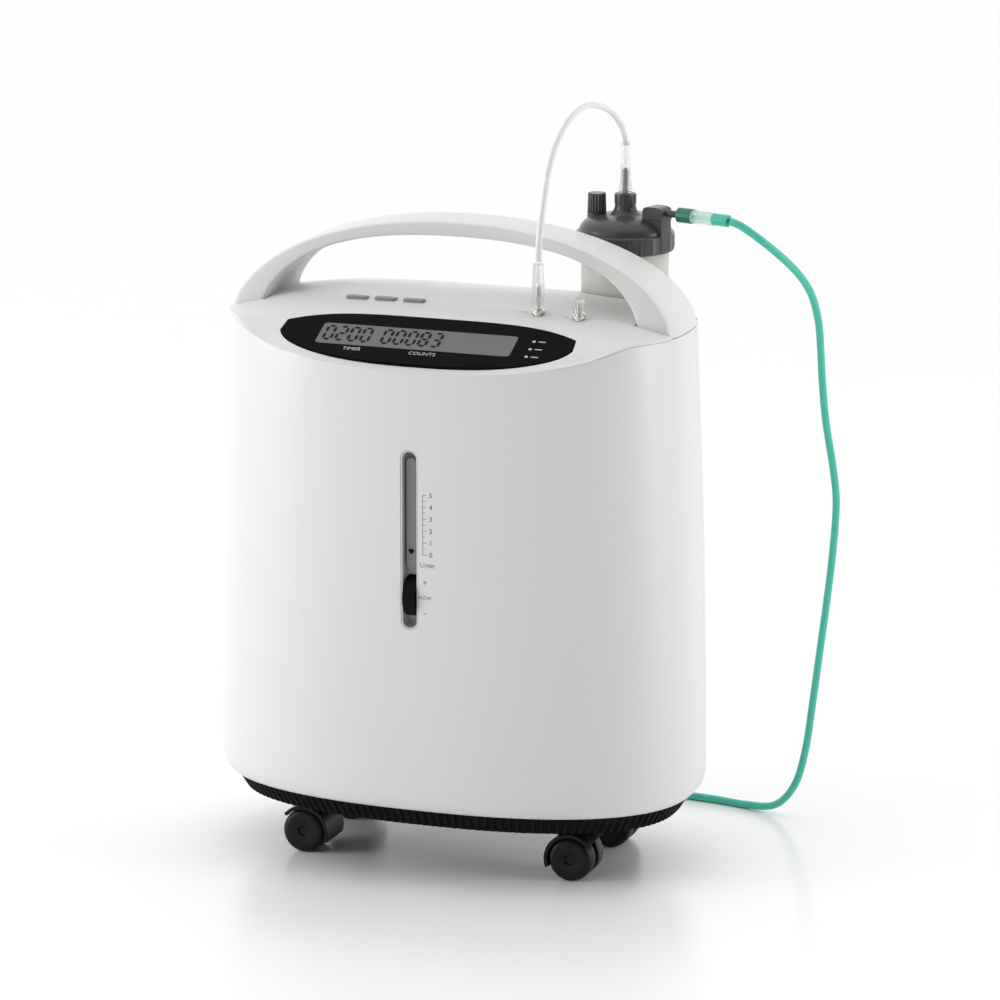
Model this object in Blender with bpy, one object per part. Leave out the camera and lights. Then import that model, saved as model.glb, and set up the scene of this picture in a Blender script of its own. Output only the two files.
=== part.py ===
"""Home oxygen concentrator with a humidifier bottle, outlet tubing and four casters.

Metres, +Z up, front towards -Y, centred on the housing. The housing is an upright body whose
plan is a superellipse. Its lid carries the display, the buttons, two outlets and the handle.
"""

import math

import bmesh
import bpy
from mathutils import Matrix, Vector

GAP = 0.0003  # clearance between pieces that touch
TUBE_END_GAP = 0.0018  # a bent tube's end face is a little askew

# Housing: superellipse plan, slightly narrower at the top
HALF_WIDTH = 0.225
HALF_WIDTH_TOP = 0.213
HALF_DEPTH = 0.134
PLAN_POWER = 2.4
SHELL_BOTTOM = 0.068
FULL_WIDTH_Z = 0.091
SIDE_SEAM_Z = 0.4935
SEAM_BEND_Y = (-0.0720, -0.0755, -0.0785, -0.0815, -0.0850, -0.0890)
WALL = 0.003
SPLIT_Y = 0.020  # plane of the joint between the front and the rear shell
TRAY_BOTTOM = 0.051

# Top cover: a crown that meets a sloped display facet
CROWN_Z = 0.515
CROWN_Y = -0.005
CROWN_RIM_Z = 0.4955
CROWN_SIDE_POWER = 3.5
FRONT_FALL = 3.0  # how fast the crown's centreline falls towards the front, per metre
REAR_FALL = 1.2
FACET_SLOPE = 0.47
FACET_ANGLE = math.atan(FACET_SLOPE)
FACET_TOP = (-0.064, 0.503)  # (y, z) at the display's upper edge

# Carrying handle, as curves of (x, z) for its upper and lower face
HANDLE_Y = 0.0075
HANDLE_HALF_DEPTH = 0.0255
HANDLE_FOOT_HALF_DEPTH = 0.0435
HANDLE_FOOT = ((0.2125, SIDE_SEAM_Z + GAP), (0.1740, SIDE_SEAM_Z + GAP))
HANDLE_OUTER = ((0.2078, 0.5050), (0.1800, 0.5500), (0.105, 0.5810), (0.0, 0.5810))
HANDLE_INNER = ((0.1740, 0.5050), (0.1560, 0.5490), (0.100, 0.5674), (0.0, 0.5674))

# Display window: half-lens outline in plan, flush in the facet
PANEL_HALF_LENGTH = 0.139
PANEL_TIP_Y = -0.0812
PANEL_TOP_Y = -0.0640
PANEL_BOTTOM_DEPTH = 0.0450
PANEL_THICKNESS = 0.003
LCD_X = -0.008
LCD_Y = -0.0937

# Controls and outlets on the crown
BUTTON_X = (-0.085, -0.058, -0.031)
BUTTON_Y = -0.038
BUTTON_SIZE = (0.0200, 0.0080)
OUTLET_XY = (0.088, -0.045)
SPARE_XY = (0.126, -0.045)

# Flowmeter in the front face
BEZEL_Z = (0.237, 0.399)
BEZEL_HALF_WIDTH = 0.008
TUBE_Z = (0.291, 0.390)
TUBE_Y = -0.1275
FLOAT_ZERO_Z = 0.306
KNOB_Z = 0.2654
KNOB_Y = -0.121
KNOB_RADIUS = 0.018

# Casters
CASTER_X = 0.114
CASTER_Y = (-0.053, 0.055)
CASTER_TRAIL = 0.014
WHEEL_RADIUS = 0.020
WHEEL_SIDES = 16
AXLE_Z = WHEEL_RADIUS * math.cos(math.pi / WHEEL_SIDES)
HOOD_RADIUS = 0.0242
HOOD_WIDTH = 0.040

# Humidifier bottle
BOTTLE = (0.121, 0.095, 0.0)
WELL_RADIUS = 0.0425
JAR_RADIUS = 0.0395
JAR_BOTTOM = 0.395
LID_RADIUS = 0.044
LID_BOTTOM = 0.545
PORT_TOP = 0.5957
SPIGOT_TOP = 0.618
PAD_TOP = 0.5755
VALVE_BASE = 0.5772
VALVE_OFFSET = (-0.027, 0.0, 0.0)
ELBOW_ANGLE = math.radians(-15)
BARB_Z = 0.5817

# Rear fittings
REAR_X = -0.020
GRILLE_Z = 0.180
FILTER_Z = 0.330
DOOR_Y = 0.1363
DOOR_THICKNESS = 0.0024
DOOR_HINGE_Z = FILTER_Z - 0.030
POWER_POINT = (0.088, 0.1215, 0.115)
POWER_TURN = math.radians(-10.3)

# Tubing
JUMPER_DIAMETER = 0.006
SUPPLY_DIAMETER = 0.007
JUMPER_ROUTE = (
    (0.0880, -0.0450, 0.5560),
    (0.0878, -0.0437, 0.5680),
    (0.0880, -0.0405, 0.5830),
    (0.0887, -0.0350, 0.6050),
    (0.0905, -0.0275, 0.6320),
    (0.0930, -0.0140, 0.6550),
    (0.0975, 0.0090, 0.6745),
    (0.1030, 0.0330, 0.6825),
    (0.1085, 0.0530, 0.6810),
    (0.1138, 0.0710, 0.6725),
    (0.1180, 0.0850, 0.6600),
    (0.1207, 0.0940, 0.6530),
    (0.1210, 0.0950, 0.6445),
)
SUPPLY_ROUTE = (
    (0.2290, 0.0661, 0.5816),
    (0.2405, 0.0655, 0.5774),
    (0.2586, 0.0740, 0.5625),
    (0.2750, 0.0890, 0.5436),
    (0.2841, 0.1050, 0.5265),
    (0.2895, 0.1200, 0.5071),
    (0.2917, 0.1330, 0.4819),
    (0.2910, 0.1430, 0.4560),
    (0.2903, 0.1520, 0.4240),
    (0.2925, 0.1580, 0.3850),
    (0.2985, 0.1635, 0.3400),
    (0.3010, 0.1660, 0.3080),
    (0.2980, 0.1680, 0.2634),
    (0.2927, 0.1690, 0.2155),
    (0.2865, 0.1700, 0.1673),
    (0.2799, 0.1720, 0.1185),
    (0.2725, 0.1750, 0.0700),
    (0.2610, 0.1800, 0.0330),
    (0.2400, 0.1880, 0.0095),
    (0.2100, 0.1970, 0.0037),
    (0.1700, 0.2050, 0.0036),
    (0.1200, 0.2080, 0.0036),
    (0.0700, 0.2040, 0.0036),
    (0.0300, 0.1985, 0.0036),
)
COIL_CENTRE = (-0.012, 0.238, 0.0)
COIL_RADIUS = 0.0385
COIL_HALF_WIDTH = 0.0075
COIL_HEIGHT = 0.0152

# Inner works
PLATE_TOP = 0.0690

# Finishes: colour, roughness, metallic, alpha
WHITE = ((0.80, 0.80, 0.79), 0.38, 0.0, 1.0)
BLACK = ((0.020, 0.020, 0.022), 0.50, 0.0, 1.0)
BLACK_GLOSS = ((0.006, 0.006, 0.007), 0.08, 0.0, 1.0)
LCD_GREY = ((0.24, 0.24, 0.23), 0.35, 0.0, 1.0)
BOARD_GREEN = ((0.02, 0.16, 0.07), 0.45, 0.0, 1.0)
TAUPE = ((0.32, 0.28, 0.26), 0.45, 0.0, 1.0)
STEEL = ((0.62, 0.60, 0.57), 0.22, 1.0, 1.0)
ZINC = ((0.55, 0.56, 0.57), 0.40, 1.0, 1.0)
ALUMINIUM = ((0.70, 0.71, 0.72), 0.42, 1.0, 1.0)
BRASS = ((0.70, 0.52, 0.25), 0.35, 1.0, 1.0)
CLEAR = ((0.86, 0.88, 0.88), 0.12, 0.0, 0.4)
MILKY = ((0.86, 0.86, 0.87), 0.35, 0.0, 0.85)
JAR_WHITE = ((0.82, 0.81, 0.77), 0.25, 0.0, 0.6)
FOAM = ((0.07, 0.07, 0.075), 0.95, 0.0, 1.0)
DARK_GREY = ((0.060, 0.060, 0.064), 0.36, 0.0, 1.0)
DARK_GREEN = ((0.015, 0.20, 0.13), 0.42, 0.0, 1.0)
GREEN = ((0.10, 0.58, 0.44), 0.28, 0.0, 1.0)
GREY_PLASTIC = ((0.45, 0.46, 0.47), 0.50, 0.0, 1.0)


# ---------------------------------------------------------------- helpers


def clear_scene():
    for obj in list(bpy.data.objects):
        bpy.data.objects.remove(obj, do_unlink=True)


def material(name, finish):
    """A Principled BSDF material of one finish."""
    color, roughness, metallic, alpha = finish
    mat = bpy.data.materials.new(name)
    mat.use_nodes = True
    shader = mat.node_tree.nodes["Principled BSDF"]
    shader.inputs["Base Color"].default_value = (*color, 1.0)
    shader.inputs["Roughness"].default_value = roughness
    shader.inputs["Metallic"].default_value = metallic
    shader.inputs["Alpha"].default_value = alpha
    return mat


def place(name, bm, location=(0, 0, 0), rotation=(0, 0, 0)):
    """Turns a bmesh into a named object."""
    bmesh.ops.recalc_face_normals(bm, faces=bm.faces)
    mesh = bpy.data.meshes.new(name)
    bm.to_mesh(mesh)
    bm.free()
    mesh.shade_smooth()
    mesh.set_sharp_from_angle(angle=math.radians(35))
    obj = bpy.data.objects.new(name, mesh)
    bpy.context.scene.collection.objects.link(obj)
    obj.location = location
    obj.rotation_euler = rotation
    return obj


def add(name, bm, finish, location=(0, 0, 0), rotation=(0, 0, 0)):
    """A visible piece with its own material."""
    obj = place(name, bm, location, rotation)
    obj.data.materials.append(material(name, finish))
    return obj


def helper(bm, location=(0, 0, 0), rotation=(0, 0, 0)):
    """A hidden cutter or joiner for a Boolean."""
    obj = place("helper", bm, location, rotation)
    obj.hide_render = True
    obj.display_type = "WIRE"
    return obj


def boolean(obj, other, operation="DIFFERENCE"):
    modifier = obj.modifiers.new(operation.lower(), "BOOLEAN")
    modifier.operation = operation
    modifier.solver = "EXACT"
    modifier.object = other


def loft(sections):
    """A closed solid through equal loops of points, with a flat cap at each end."""
    bm = bmesh.new()
    loops = [[bm.verts.new(point) for point in section] for section in sections]
    bridge(bm, loops)
    bm.faces.new(loops[0])
    bm.faces.new(loops[-1])
    return bm


def bridge(bm, loops):
    """Faces between each loop of vertices and the next."""
    count = len(loops[0])
    for first, second in zip(loops, loops[1:]):
        for i in range(count):
            j = (i + 1) % count
            bm.faces.new((first[i], first[j], second[j], second[i]))


def prism(outline, low, high):
    """The outline's (x, y) points extruded along Z."""
    return loft([[(x, y, low) for x, y in outline], [(x, y, high) for x, y in outline]])


def lathe(profile, segments=24):
    """Turns (radius, z) points about Z. A profile off the axis at both ends closes on itself."""
    bm = bmesh.new()
    angles = [2 * math.pi * i / segments for i in range(segments)]
    rings = []
    for radius, z in profile:
        if radius == 0:
            rings.append([bm.verts.new((0, 0, z))])
        else:
            rings.append([bm.verts.new((radius * math.cos(a), radius * math.sin(a), z)) for a in angles])
    pairs = list(zip(rings, rings[1:]))
    if profile[0][0] > 0 and profile[-1][0] > 0:
        pairs.append((rings[-1], rings[0]))
    for first, second in pairs:
        for i in range(segments):
            j = (i + 1) % segments
            if len(first) == 1:
                bm.faces.new((first[0], second[j], second[i]))
            elif len(second) == 1:
                bm.faces.new((first[i], first[j], second[0]))
            else:
                bm.faces.new((first[i], first[j], second[j], second[i]))
    return bm


def rod(radius, low, high, segments=20):
    return lathe([(0, high), (radius, high), (radius, low), (0, low)], segments)


def tube(outer, inner, low, high, segments=16):
    return lathe([(outer, high), (outer, low), (inner, low), (inner, high)], segments)


def box(size, centre=(0, 0, 0), bevel=0.0):
    bm = bmesh.new()
    bmesh.ops.create_cube(bm, size=1.0)
    bmesh.ops.scale(bm, vec=size, verts=bm.verts)
    if bevel:
        bmesh.ops.bevel(bm, geom=bm.edges[:], offset=bevel, segments=1, affect="EDGES")
    return moved(bm, centre)


def boxes(size, centres):
    """Several equal boxes in one mesh, to cut or join a row at once."""
    bm = bmesh.new()
    for centre in centres:
        made = bmesh.ops.create_cube(bm, size=1.0)
        bmesh.ops.scale(bm, vec=size, verts=made["verts"])
        bmesh.ops.translate(bm, vec=centre, verts=made["verts"])
    return bm


def turned(bm, axis, angle=math.pi / 2):
    bmesh.ops.rotate(bm, cent=(0, 0, 0), matrix=Matrix.Rotation(angle, 3, axis), verts=bm.verts)
    return bm


def moved(bm, offset):
    bmesh.ops.translate(bm, vec=offset, verts=bm.verts)
    return bm


def stadium(half_width, low, high, steps=6):
    """An upright slot outline with round ends, as (x, z) points."""
    points = []
    for i in range(steps + 1):
        angle = math.pi * i / steps
        points.append((half_width * math.cos(angle), high - half_width + half_width * math.sin(angle)))
    for i in range(steps + 1):
        angle = math.pi + math.pi * i / steps
        points.append((half_width * math.cos(angle), low + half_width + half_width * math.sin(angle)))
    return points


def bezier(control, t):
    a, b, c, d = (Vector(point) for point in control)
    s = 1 - t
    return a * s**3 + b * 3 * s * s * t + c * 3 * s * t * t + d * t**3


# ---------------------------------------------------------------- housing surfaces


def plan_point(angle, half_width, half_depth):
    """A point of the superellipse plan."""
    c = math.cos(angle)
    s = math.sin(angle)
    x = half_width * math.copysign(abs(c) ** (2 / PLAN_POWER), c)
    y = half_depth * math.copysign(abs(s) ** (2 / PLAN_POWER), s)
    return x, y


def seam_bends():
    """Parameters of the plan where the seam turns from the side line into the front slope."""
    found = []
    for y in SEAM_BEND_Y:
        angle = math.asin((abs(y) / HALF_DEPTH) ** (PLAN_POWER / 2))
        found += [-math.pi + angle, -angle, math.pi + angle, 2 * math.pi - angle]
    return found


def plan_angles(start, end, steps):
    """Parameters of the plan between two of them, evenly spread along its outline."""
    fine = [start + (end - start) * i / 720 for i in range(721)]
    points = [plan_point(angle, HALF_WIDTH, HALF_DEPTH) for angle in fine]
    walked = [0.0]
    for first, second in zip(points, points[1:]):
        walked.append(walked[-1] + math.dist(first, second))
    chosen = []
    j = 0
    for i in range(steps + 1):
        while j < 720 and walked[j] < walked[-1] * i / steps - 1e-9:
            j += 1
        chosen.append(fine[j])
    bends = [angle for angle in seam_bends() if start < angle < end]
    apart = [angle for angle in chosen if all(abs(angle - bend) > 0.02 for bend in bends)]
    return sorted(apart + bends)


def plan_half_width(y, half_width):
    return half_width * max(0.0, 1 - abs(y / HALF_DEPTH) ** PLAN_POWER) ** (1 / PLAN_POWER)


def half_width_at(z):
    rise = max(0.0, z - FULL_WIDTH_Z) / (SIDE_SEAM_Z - FULL_WIDTH_Z)
    return HALF_WIDTH - (HALF_WIDTH - HALF_WIDTH_TOP) * rise**1.7


def facet_z(y):
    return FACET_TOP[1] + FACET_SLOPE * (y - FACET_TOP[0])


def crown_z(x, y):
    fall = FRONT_FALL if y < CROWN_Y else REAR_FALL
    middle = CROWN_Z - fall * (y - CROWN_Y) ** 2
    if middle < CROWN_RIM_Z:
        return middle
    reach = min(1.0, abs(x) / max(0.001, plan_half_width(y, HALF_WIDTH_TOP)))
    return CROWN_RIM_Z + (middle - CROWN_RIM_Z) * (1 - reach**CROWN_SIDE_POWER)


def top_z(x, y):
    """Height of the top cover's outer surface."""
    return min(facet_z(y), crown_z(x, y))


def seam_z(y):
    """Height of the joint between the shells and the top cover."""
    return min(facet_z(y) - 0.0015, SIDE_SEAM_Z, SIDE_SEAM_Z - 0.05 * (y - 0.06))


def split_angle():
    """Plan parameter at which the superellipse crosses the shells' joint."""
    return math.asin((SPLIT_Y / HALF_DEPTH) ** (PLAN_POWER / 2))


def wall_section(angle):
    """One upright slice through the shell wall: up the outside and down the inside."""
    top = seam_z(plan_point(angle, HALF_WIDTH_TOP, HALF_DEPTH)[1]) - GAP
    levels = (
        (SHELL_BOTTOM, 0.0110),
        (0.0705, 0.0062),
        (0.0755, 0.0025),
        (0.0830, 0.0006),
        (FULL_WIDTH_Z, 0.0),
        (0.240, 0.0),
        (0.380, 0.0),
        (top, 0.0),
    )
    outside = []
    inside = []
    for z, inset in levels:
        width = half_width_at(z) - inset
        depth = HALF_DEPTH - inset
        outside.append((*plan_point(angle, width, depth), z))
        inside.append((*plan_point(angle, width - WALL, depth - WALL), z))
    return outside + inside[::-1]


def shell_wall(start, end, shift_y, steps):
    """A part of the housing wall, lofted round the plan between two of its parameters."""
    sections = [wall_section(angle) for angle in plan_angles(start, end, steps)]
    for end_section in (0, -1):
        sections[end_section] = [(x, SPLIT_Y + shift_y, z) for x, _, z in sections[end_section]]
    return loft(sections)


# ---------------------------------------------------------------- housing parts


def front_shell():
    seam = split_angle()
    shell = add("front_shell", shell_wall(-math.pi - seam, seam, -GAP / 2, 28), WHITE)
    slot = stadium(BEZEL_HALF_WIDTH + GAP, BEZEL_Z[0] - GAP, BEZEL_Z[1] + GAP)
    boolean(shell, helper(turned(prism(slot, 0.10, 0.16), "X")))


def rear_shell():
    seam = split_angle()
    shell = add("rear_shell", shell_wall(seam, math.pi - seam, GAP / 2, 22), WHITE)
    boolean(shell, helper(box((0.1206, 0.05, 0.0906), (REAR_X, 0.13, GRILLE_Z))))
    boolean(shell, helper(box((0.0966, 0.05, 0.0666), (REAR_X, 0.13, FILTER_Z))))
    boolean(shell, helper(box((0.0726, 0.05, 0.0346)), POWER_POINT, (0, 0, POWER_TURN)))
    boolean(shell, helper(well_space(), BOTTLE))


def well_space():
    return rod(WELL_RADIUS + GAP, JAR_BOTTOM - 0.0035, 0.56, 28)


def top_cover():
    """Crowned sheet over the whole plan. Its edge stands on the rims of the shells."""
    angles = plan_angles(0, 2 * math.pi, 44)[:-1]
    scales = (1.0, 0.985, 0.94, 0.86, 0.74, 0.60, 0.40, 0.20)
    bm = bmesh.new()

    def ring(scale, drop, inset):
        verts = []
        for angle in angles:
            x, y = plan_point(angle, HALF_WIDTH_TOP - inset, HALF_DEPTH - inset)
            verts.append(bm.verts.new((x * scale, y * scale, top_z(x * scale, y * scale) - drop)))
        return verts

    def edge(inset):
        verts = []
        for angle in angles:
            seam = seam_z(plan_point(angle, HALF_WIDTH_TOP, HALF_DEPTH)[1])
            verts.append(bm.verts.new((*plan_point(angle, HALF_WIDTH_TOP - inset, HALF_DEPTH - inset), seam)))
        return verts

    outer = [ring(scale, 0.0005 if scale == 1.0 else 0.0, 0.0) for scale in scales]
    inner = [ring(scale, WALL, WALL) for scale in scales[1:]]
    bridge(bm, outer[::-1] + [edge(0.0), edge(WALL)] + inner)
    for loop, drop in ((outer[-1], 0.0), (inner[-1], WALL)):
        middle = bm.verts.new((0, 0, top_z(0, 0) - drop))
        for first, second in zip(loop, loop[1:] + loop[:1]):
            bm.faces.new((first, second, middle))
    cover = add("top_cover", bm, WHITE)

    boolean(cover, helper(prism(panel_outline(GAP), -0.03, 0.03), panel_point(), (FACET_ANGLE, 0, 0)))
    slots = boxes(
        (BUTTON_SIZE[0] + 2 * GAP, BUTTON_SIZE[1] + 2 * GAP, 0.05),
        [(x, BUTTON_Y, CROWN_Z) for x in BUTTON_X],
    )
    boolean(cover, helper(slots))
    for x, y in (OUTLET_XY, SPARE_XY):
        boolean(cover, helper(rod(0.0044, 0.48, 0.55, 16), (x, y, 0)))
    boolean(cover, helper(well_space(), BOTTLE))
    inner_x = HANDLE_FOOT[1][0] - GAP
    room = boxes(
        (0.10, 2 * (HANDLE_FOOT_HALF_DEPTH + GAP), 0.08),
        [(side * (inner_x + 0.05), HANDLE_Y, 0.50) for side in (-1, 1)],
    )
    boolean(cover, helper(room))


def handle_section(outer, inner, half_depth, side):
    """An octagon across the strap. Near its foot the outer face follows the housing's plan."""
    corners = ((1, -0.86), (1, 0.86), (0.7, 1), (-0.7, 1), (-1, 0.86), (-1, -0.86), (-0.7, -1), (0.7, -1))
    middle = (outer + inner) / 2
    points = []
    for across, along in corners:
        x, z = middle + (outer - middle) * across
        y = HANDLE_Y + half_depth * along
        nearness = max(0.0, 1 - (z - HANDLE_FOOT[0][1]) / 0.05)
        if across > 0:
            x -= (HALF_WIDTH_TOP - plan_half_width(y, HALF_WIDTH_TOP)) * nearness
        points.append((side * x, y, z))
    return points


def carry_handle():
    """Arched strap across the housing, deeper and thicker where it meets the sides."""
    steps = 12
    sections = []
    for side in (-1, 1):
        foot = [Vector(point) for point in HANDLE_FOOT]
        half = [handle_section(*foot, HANDLE_FOOT_HALF_DEPTH, side)]
        for i in range(steps + 1):
            t = i / steps
            flare = (HANDLE_FOOT_HALF_DEPTH - HANDLE_HALF_DEPTH) * (1 - t) ** 2.2
            outer = bezier(HANDLE_OUTER, t)
            inner = bezier(HANDLE_INNER, t)
            half.append(handle_section(outer, inner, HANDLE_HALF_DEPTH + flare, side))
        sections += half if side < 0 else half[::-1][1:]
    add("carry_handle", loft(sections), WHITE)


def panel_point():
    return (0, PANEL_TIP_Y, facet_z(PANEL_TIP_Y))


def panel_outline(grow=0.0):
    """Half-lens outline of the display window, in the facet's own plane about its tips' level."""
    steps = 16
    stretch = 1 / math.cos(FACET_ANGLE)
    points = []
    for i in range(steps + 1):
        u = 0.985 * math.sin(math.pi * (i / steps - 0.5))
        y = -PANEL_BOTTOM_DEPTH * (1 - abs(u) ** 2.5) ** 0.4
        points.append((u * (PANEL_HALF_LENGTH + grow), y * stretch - grow))
    for i in range(1, steps):
        u = 1 - 2 * i / steps
        y = (PANEL_TOP_Y - PANEL_TIP_Y) * (1 - abs(u) ** 4)
        points.append((u * (PANEL_HALF_LENGTH + grow), y * stretch + grow))
    return points


def display():
    tilt = (FACET_ANGLE, 0, 0)
    add("display_window", prism(panel_outline(-GAP), -PANEL_THICKNESS, 0.0), BLACK_GLOSS, panel_point(), tilt)
    middle = (LCD_X, LCD_Y, facet_z(LCD_Y))
    add("lcd_module", box((0.186, 0.033, 0.005), (0, 0, -0.0060), 0.0005), LCD_GREY, middle, tilt)
    add("control_board", box((0.200, 0.044, 0.0016), (0, 0, -0.0150)), BOARD_GREEN, middle, tilt)


def buttons():
    for name, x in zip(("timer_up_button", "timer_down_button", "reset_button"), BUTTON_X):
        top = crown_z(x, BUTTON_Y) + 0.0018
        add(name, box((*BUTTON_SIZE, 0.0075), (0, 0, -0.00375), 0.0007), TAUPE, (x, BUTTON_Y, top))


def outlet_nozzles():
    for name, (x, y), rise in (
        ("oxygen_outlet_nozzle", OUTLET_XY, 0.0238),
        ("spare_outlet_nozzle", SPARE_XY, 0.0130),
    ):
        profile = (
            (0, rise),
            (0.0014, rise),
            (0.0019, rise - 0.0015),
            (0.0019, 0.0024),
            (0.0060, 0.0018),
            (0.0060, 0.0),
            (0.0040, 0.0),
            (0.0040, -0.0120),
            (0, -0.0120),
        )
        add(name, lathe(profile, 16), STEEL, (x, y, crown_z(x, y) + 0.0018))
    x, y = SPARE_XY
    low = crown_z(x, y) + 0.0048
    profile = (
        (0, 0.0140),
        (0.0052, 0.0140),
        (0.0046, 0.0070),
        (0.0058, 0.0),
        (0.0023, 0.0),
        (0.0023, 0.0115),
        (0, 0.0115),
    )
    add("spare_outlet_cap", lathe(profile, 16), CLEAR, (x, y, low))


def base_tray():
    """Shallow tray that closes the housing below, with its inner rim behind the shells."""
    rings = (
        (0.2030, 0.1120, TRAY_BOTTOM),
        (0.2130, 0.1220, SHELL_BOTTOM - GAP),
        (0.2060, 0.1150, SHELL_BOTTOM - GAP),
        (0.2060, 0.1150, 0.0840),
        (0.2030, 0.1120, 0.0840),
        (0.1990, 0.1080, TRAY_BOTTOM + WALL),
    )
    angles = plan_angles(0, 2 * math.pi, 44)[:-1]
    sections = [[(*plan_point(angle, width, depth), z) for angle in angles] for width, depth, z in rings]
    tray = add("base_tray", loft(sections), BLACK)
    for x, y in caster_places():
        boolean(tray, helper(rod(0.0053, 0.04, 0.07, 16), (x, y, 0)))


# ---------------------------------------------------------------- casters


def caster_places():
    return [(side * CASTER_X, y) for y in CASTER_Y for side in (-1, 1)]


def caster_hood(name, x, y, heading):
    """Arched fender over two wheels, with a middle web that carries the axle, and a stem."""
    axle = (heading * CASTER_TRAIL, 0, AXLE_Z)
    steps = 9
    start = math.radians(-20)
    end = math.radians(140)
    angles = [start + (end - start) * i / steps for i in range(steps + 1)]
    inner = WHEEL_RADIUS + 0.0012
    outline = [(HOOD_RADIUS * math.cos(a), HOOD_RADIUS * math.sin(a)) for a in angles]
    outline += [(inner * math.cos(a), inner * math.sin(a)) for a in angles[::-1]]
    outline = [(-heading * across, up) for across, up in outline]
    fender = turned(prism(outline, -HOOD_WIDTH / 2, HOOD_WIDTH / 2), "X")
    hood = add(name, moved(fender, axle), BLACK, (x, y, 0))
    # The web is a sector that reaches the fender, closed round the axle by a hub.
    hub = 0.0070
    sector = [((HOOD_RADIUS - 0.001) * math.cos(a), (HOOD_RADIUS - 0.001) * math.sin(a)) for a in angles]
    rest = [end + (2 * math.pi + start - end) * i / 6 for i in range(7)]
    sector += [(hub * math.cos(a), hub * math.sin(a)) for a in rest]
    sector = [(-heading * across, up) for across, up in sector]
    web = moved(turned(prism(sector, -0.003, 0.003), "X"), axle)
    boolean(hood, helper(web, (x, y, 0)), "UNION")
    # The stem's boss narrows downwards, so that it bites into the fender's crown alone.
    stem = lathe(
        (
            (0, 0.0655),
            (0.0050, 0.0655),
            (0.0050, TRAY_BOTTOM - GAP),
            (0.0110, TRAY_BOTTOM - GAP),
            (0.0110, 0.0452),
            (0.0028, 0.0362),
            (0, 0.0362),
        ),
        14,
    )
    boolean(hood, helper(stem, (x, y, 0)), "UNION")
    hole = turned(rod(0.0034, -0.03, 0.03, 16), "X")
    boolean(hood, helper(moved(hole, axle), (x, y, 0)))


def caster_wheels(name, x, y, heading):
    """A pair of wheels joined by their axle, as one turned piece."""
    inner = 0.0035
    outer = HOOD_WIDTH / 2
    r = WHEEL_RADIUS
    profile = (
        (0, outer - 0.0015),
        (0.0145, outer),
        (r - 0.0020, outer - 0.0012),
        (r, outer - 0.0040),
        (r, inner),
        (0.0030, inner),
        (0.0030, -inner),
        (r, -inner),
        (r, -outer + 0.0040),
        (r - 0.0020, -outer + 0.0012),
        (0.0145, -outer),
        (0, -outer + 0.0015),
    )
    wheel = turned(lathe(profile, WHEEL_SIDES), "X")
    wheel = turned(wheel, "Y", math.pi / WHEEL_SIDES)
    add(name, wheel, BLACK, (x + heading * CASTER_TRAIL, y, AXLE_Z))


def casters():
    names = ("front_left", "front_right", "rear_left", "rear_right")
    for name, (x, y) in zip(names, caster_places()):
        heading = 1 if x > 0 else -1
        caster_hood(f"caster_hood_{name}", x, y, heading)
        caster_wheels(f"caster_wheels_{name}", x, y, heading)


# ---------------------------------------------------------------- flowmeter


def flowmeter():
    front = 0.1336
    back = 0.1190
    outline = stadium(BEZEL_HALF_WIDTH, *BEZEL_Z)
    bezel = add("flowmeter_bezel", turned(prism(outline, back, front), "X"), WHITE)
    rim = 0.0016
    pocket = stadium(BEZEL_HALF_WIDTH - rim, BEZEL_Z[0] + rim, BEZEL_Z[1] - rim)
    boolean(bezel, helper(turned(prism(pocket, back + 0.0020, front + 0.01), "X")))
    boolean(bezel, helper(box((0.0118, 0.02, 2 * KNOB_RADIUS + 0.0015), (0, -back, KNOB_Z))))

    sleeve = tube(0.0052, 0.0037, TUBE_Z[0] - FLOAT_ZERO_Z, TUBE_Z[1] - FLOAT_ZERO_Z, 16)
    add("flowmeter_tube", sleeve, CLEAR, (0, TUBE_Y, FLOAT_ZERO_Z))
    bobbin = ((0, 0.003), (0.0031, 0.003), (0.0031, 0.001), (0.0009, -0.003), (0, -0.003))
    add("flow_float", lathe(bobbin, 16), BLACK, (0, TUBE_Y, FLOAT_ZERO_Z))

    half = 0.0055
    r = KNOB_RADIUS
    profile = ((0, half), (r - 0.003, half), (r, half - 0.002), (r, 0.002 - half), (r - 0.003, -half), (0, -half))
    add("flow_knob", turned(lathe(profile, 24), "Y"), BLACK, (0, KNOB_Y, KNOB_Z))
    add("flow_valve_body", box((0.030, 0.028, 0.044), (0, -0.0870, KNOB_Z), 0.001), BRASS)


# ---------------------------------------------------------------- rear fittings


def rear_fittings():
    grille = add("rear_grille", box((0.120, 0.0045, 0.090), (REAR_X, 0.1265, GRILLE_Z)), BLACK)
    centres = [(REAR_X, 0.1265, GRILLE_Z - 0.036 + 0.009 * i) for i in range(9)]
    boolean(grille, helper(boxes((0.106, 0.02, 0.0045), centres)))

    frame = add("filter_frame", box((0.096, 0.0105, 0.066), (REAR_X, 0.12925, FILTER_Z), 0.0005), BLACK)
    boolean(frame, helper(box((0.0746, 0.03, 0.0486), (REAR_X, 0.13, FILTER_Z))))
    add("intake_filter", box((0.074, 0.0090, 0.048), (REAR_X, 0.1285, FILTER_Z)), FOAM)
    panel = box((0.092, DOOR_THICKNESS, 0.0612), (0, 0, 0.0298), 0.0005)
    door = add("filter_door", panel, WHITE, (REAR_X, DOOR_Y, DOOR_HINGE_Z))
    vents = [(REAR_X, DOOR_Y, DOOR_HINGE_Z + 0.012 + 0.0075 * i) for i in range(6)]
    boolean(door, helper(boxes((0.070, 0.02, 0.003), vents)))


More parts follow.
